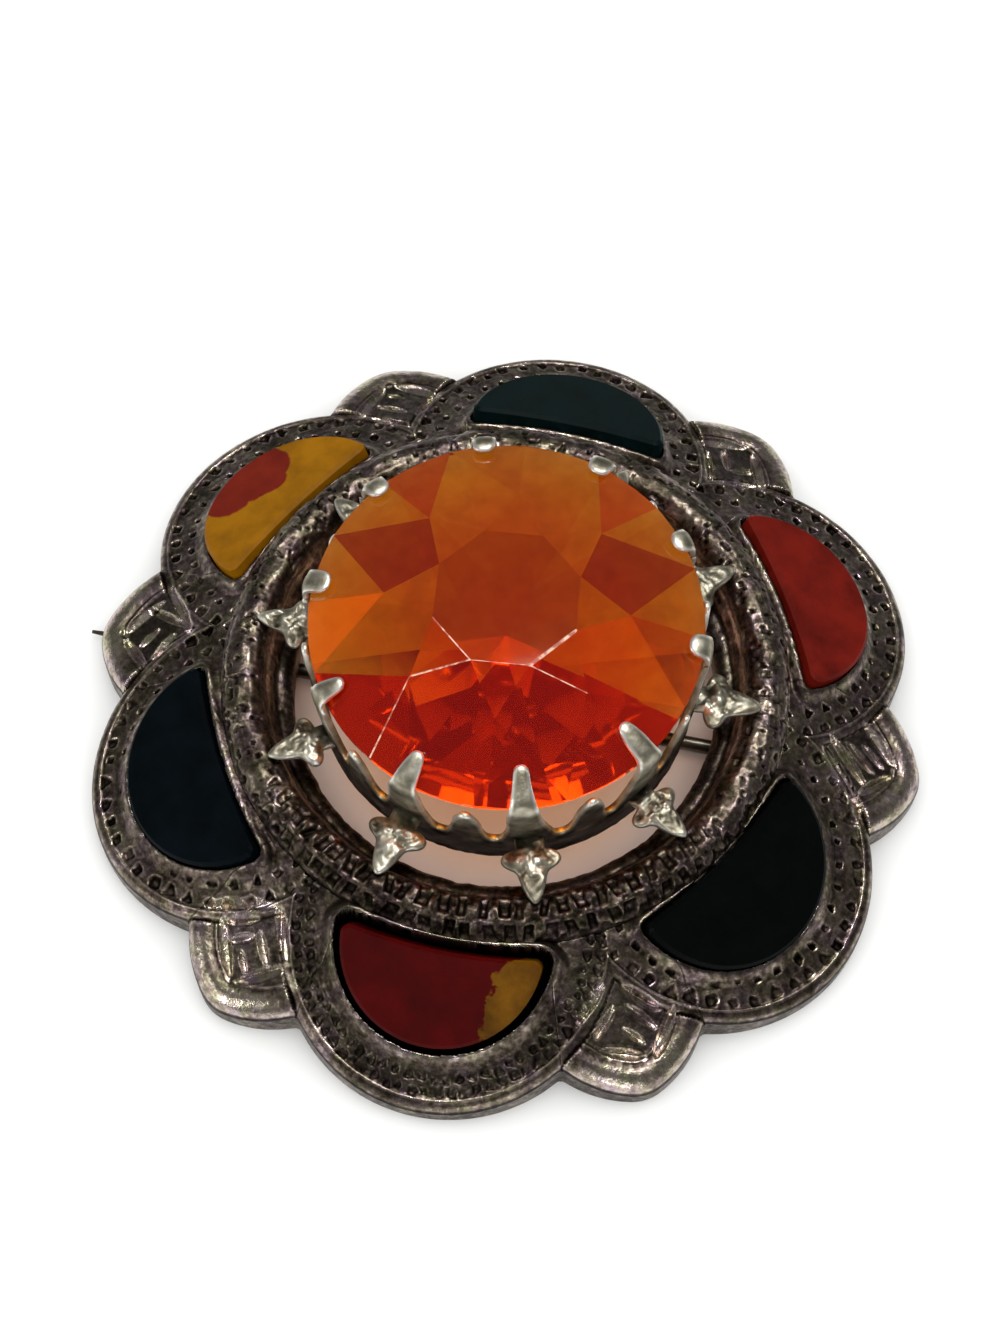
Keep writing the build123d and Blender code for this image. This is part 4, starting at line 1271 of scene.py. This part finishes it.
class BroochColours(bpy.types.PropertyGroup):
    """Colours of the slabs, each with that of its darker clouds"""

    red_right: slab_colour("Right red", "#6B150A")
    red_right_clouds: slab_colour("Right red, clouds", "#4D0C06")
    red_bottom: slab_colour("Bottom red", "#480000")
    red_bottom_clouds: slab_colour("Bottom red, clouds", "#360000")
    bottom_patch: slab_colour("Bottom patch", "#6A4404")
    bottom_patch_clouds: slab_colour("Bottom patch, clouds", "#422602")
    yellow: slab_colour("Yellow", "#926004")
    yellow_clouds: slab_colour("Yellow, clouds", "#744A02")
    yellow_patch: slab_colour("Patch on the yellow", "#701E0F")
    yellow_patch_clouds: slab_colour("Patch on the yellow, clouds", "#5C160C")
    green: slab_colour("Green", "#041516")
    green_clouds: slab_colour("Green, clouds", "#030E0E")
    dark_left: slab_colour("Left dark", "#030B10")
    dark_left_clouds: slab_colour("Left dark, clouds", "#010507")
    dark_right: slab_colour("Right dark", "#030606")
    dark_right_clouds: slab_colour("Right dark, clouds", "#010202")

    def pair(self, name):
        """A colour and that of its clouds."""
        return getattr(self, name), getattr(self, name + "_clouds")


# Middles and radii of the patches' spots
BOTTOM_SPOTS = [(5.4, -17.6, 5.2, 2.7), (4.6, -19.3, 4.4, 1.9)]
YELLOW_SPOTS = [(-16.3, 9.9, 3.9, 2.1), (-17.6, 8.3, 3.9, 1.6)]
YELLOW_RAGGEDNESS = 0.9
COLUMNS_PER_DEGREE = 5


def wedges(middles, half):
    """Start, end and columns of wedges round the given turns."""
    columns = int(round(degrees(2 * half) * COLUMNS_PER_DEGREE))
    return [(middle - half, middle + half, columns) for middle in middles]


class BROOCH_OT_frame(bpy.types.Operator):
    """Models the silver frame with its lobes, leaves and ring"""

    bl_idname = "brooch.frame"
    bl_label = "Silver frame"

    def execute(self, context):
        sizes = context.scene.brooch_sizes
        silver = oxidised_silver()
        lobe_half = SECTOR / 2 - LEAF_HALF_ANGLE
        for name, lobes in (("lobes_right", (5, 0, 1)), ("lobes_left", (2, 3, 4))):
            make_front(name, wedges([SECTOR * (n + 0.5) for n in lobes], lobe_half), sizes, silver)
        make_front("leaves", wedges([SECTOR * n for n in range(6)], LEAF_HALF_ANGLE), sizes, silver)
        make_ring("ring", sizes, silver)
        return {"FINISHED"}


class BROOCH_OT_setting(bpy.types.Operator):
    """Models the crown setting with its claws, points and feet"""

    bl_idname = "brooch.setting"
    bl_label = "Crown setting"

    def execute(self, context):
        silver = setting_silver()
        make_crown("crown_band", silver)
        make_feet("crown_feet", silver)
        return {"FINISHED"}


class BROOCH_OT_pin(bpy.types.Operator):
    """Finishes the pin"""

    bl_idname = "brooch.pin"
    bl_label = "Pin"

    def execute(self, context):
        wear_node("brooch_pin", pin_metal())
        return {"FINISHED"}


class BROOCH_OT_stone(bpy.types.Operator):
    """Models the faceted stone"""

    bl_idname = "brooch.stone"
    bl_label = "Faceted stone"

    def execute(self, context):
        make_stone("faceted_stone", faceted_stone(), worn_edge())
        return {"FINISHED"}


class BROOCH_OT_slabs(bpy.types.Operator):
    """Finishes the six slabs"""

    bl_idname = "brooch.slabs"
    bl_label = "Slabs"

    def execute(self, context):
        pair = context.scene.brooch_colours.pair
        wear_node("slab_red_right", polished_slab("red_jasper", pair("red_right")))
        wear_node("slab_red_bottom", polished_slab(
            "red_jasper_patched", pair("red_bottom"), pair("bottom_patch"), BOTTOM_SPOTS,
        ))
        wear_node("slab_yellow", polished_slab(
            "yellow_jasper", pair("yellow"), pair("yellow_patch"), YELLOW_SPOTS, YELLOW_RAGGEDNESS,
        ))
        wear_node("slab_green", polished_slab("green_stone", pair("green")))
        wear_node("slab_dark_left", polished_slab("green_agate", pair("dark_left")))
        wear_node("slab_dark_right", polished_slab("dark_agate", pair("dark_right")))
        return {"FINISHED"}


# Lamps: turn and rise in degrees, size in metres, power in watts and the rays that see the lamp.
# The panel lights all that is matt, the glows show only through the stone, and the rest only as
# gloss, so that each can be set by itself.
LAMP_DISTANCE = 0.5
LAMPS = {
    "panel": (281, 88, 2.6, 23.0, "visible_diffuse"),
    "glow_above": (281, 88, 2.6, 62.0, "visible_transmission"),
    "glow_behind": (101, 30, 1.0, 14.0, "visible_transmission"),
    "top": (75, 80, 0.19, 1.75, "visible_glossy"),
    "front_left": (221, 25, 0.16, 0.55, "visible_glossy"),
    "front_right": (290, 16, 0.14, 0.32, "visible_glossy"),
}
ROOM_LIGHT = 0.12

# Camera, fitted to the photo: its turns, its distance from the target in millimetres, and the lens
# as a length in pixels of an image of the given height.
AZIMUTH, ELEVATION, ROLL = radians(10.918), radians(63.81), radians(0.715)
TARGET, TARGET_DISTANCE = Vector((-0.879, 2.941, 0)), 128.14
LENS_PIXELS, IMAGE_HEIGHT = 2294.35, 1333
SENSOR = 36


def add_floor(scene):
    """A wide floor that the brooch rests on."""
    mesh = bpy.data.meshes.new("floor")
    bm = bmesh.new()
    bmesh.ops.create_grid(bm, x_segments=1, y_segments=1, size=1.5)
    bm.to_mesh(mesh)
    bm.free()
    mesh.materials.append(painted_floor())
    floor = bpy.data.objects.new("floor", mesh)
    scene.collection.objects.link(floor)


def add_lamps(scene):
    """The lamps, each seen by one kind of ray, and the faint light of the room."""
    world = bpy.data.worlds.new("studio")
    scene.world = world
    world.use_nodes = True
    background = world.node_tree.nodes["Background"].inputs
    background["Color"].default_value = (1, 1, 1, 1)
    background["Strength"].default_value = ROOM_LIGHT
    for name, (turn, rise, size, power, seen) in LAMPS.items():
        light = bpy.data.lights.new(name, "AREA")
        light.shape = "DISK"
        light.size = size
        light.energy = power
        lamp = bpy.data.objects.new(name, light)
        scene.collection.objects.link(lamp)
        lamp.visible_diffuse = lamp.visible_glossy = lamp.visible_transmission = False
        setattr(lamp, seen, True)
        lamp.location = LAMP_DISTANCE * at(cos(radians(rise)), turn, sin(radians(rise)))
        lamp.rotation_euler = (-lamp.location).to_track_quat("-Z", "Y").to_euler()


def add_camera(scene):
    """The camera at the photo's angle."""
    right = Vector((cos(AZIMUTH), sin(AZIMUTH), 0))
    back = Vector((sin(AZIMUTH) * cos(ELEVATION), -cos(AZIMUTH) * cos(ELEVATION), sin(ELEVATION)))
    up = back.cross(right)
    rolled_right = right * cos(ROLL) + up * sin(ROLL)
    rolled_up = up * cos(ROLL) - right * sin(ROLL)
    camera = bpy.data.cameras.new("camera")
    camera.sensor_width = SENSOR
    camera.lens = SENSOR * LENS_PIXELS / IMAGE_HEIGHT
    camera.clip_start = 0.001
    holder = bpy.data.objects.new("camera", camera)
    scene.collection.objects.link(holder)
    turned = Matrix((rolled_right, rolled_up, back)).transposed().to_4x4()
    holder.matrix_world = Matrix.Translation((TARGET + back * TARGET_DISTANCE) * MM) @ turned
    scene.camera = holder


class BROOCH_OT_stage(bpy.types.Operator):
    """Sets the floor, the lights and the camera"""

    bl_idname = "brooch.stage"
    bl_label = "Stage"

    def execute(self, context):
        add_floor(context.scene)
        add_lamps(context.scene)
        add_camera(context.scene)
        context.scene.view_settings.view_transform = "Standard"
        return {"FINISHED"}


class BROOCH_PT_panel(bpy.types.Panel):
    """Lists the brooch's sizes, colours and steps"""

    bl_idname = "BROOCH_PT_panel"
    bl_label = "Pebble brooch"
    bl_space_type = "VIEW_3D"
    bl_region_type = "UI"
    bl_category = "Brooch"

    def draw(self, context):
        scene = context.scene
        for group in (scene.brooch_sizes, scene.brooch_colours):
            for name in type(group).__annotations__:
                self.layout.prop(group, name)
        for operator in OPERATORS:
            self.layout.operator(operator.bl_idname)


OPERATORS = (
    BROOCH_OT_frame, BROOCH_OT_setting, BROOCH_OT_pin, BROOCH_OT_stone, BROOCH_OT_slabs, BROOCH_OT_stage,
)
CLASSES = (BroochSizes, BroochColours, *OPERATORS, BROOCH_PT_panel)


def register():
    for cls in CLASSES:
        bpy.utils.register_class(cls)
    bpy.types.Scene.brooch_sizes = bpy.props.PointerProperty(type=BroochSizes)
    bpy.types.Scene.brooch_colours = bpy.props.PointerProperty(type=BroochColours)


def unregister():
    del bpy.types.Scene.brooch_sizes
    del bpy.types.Scene.brooch_colours
    for cls in reversed(CLASSES):
        bpy.utils.unregister_class(cls)


def main():
    register()
    bpy.ops.brooch.frame()
    bpy.ops.brooch.setting()
    bpy.ops.brooch.pin()
    bpy.ops.brooch.stone()
    bpy.ops.brooch.slabs()
    bpy.ops.brooch.stage()


if __name__ == "__main__":
    main()
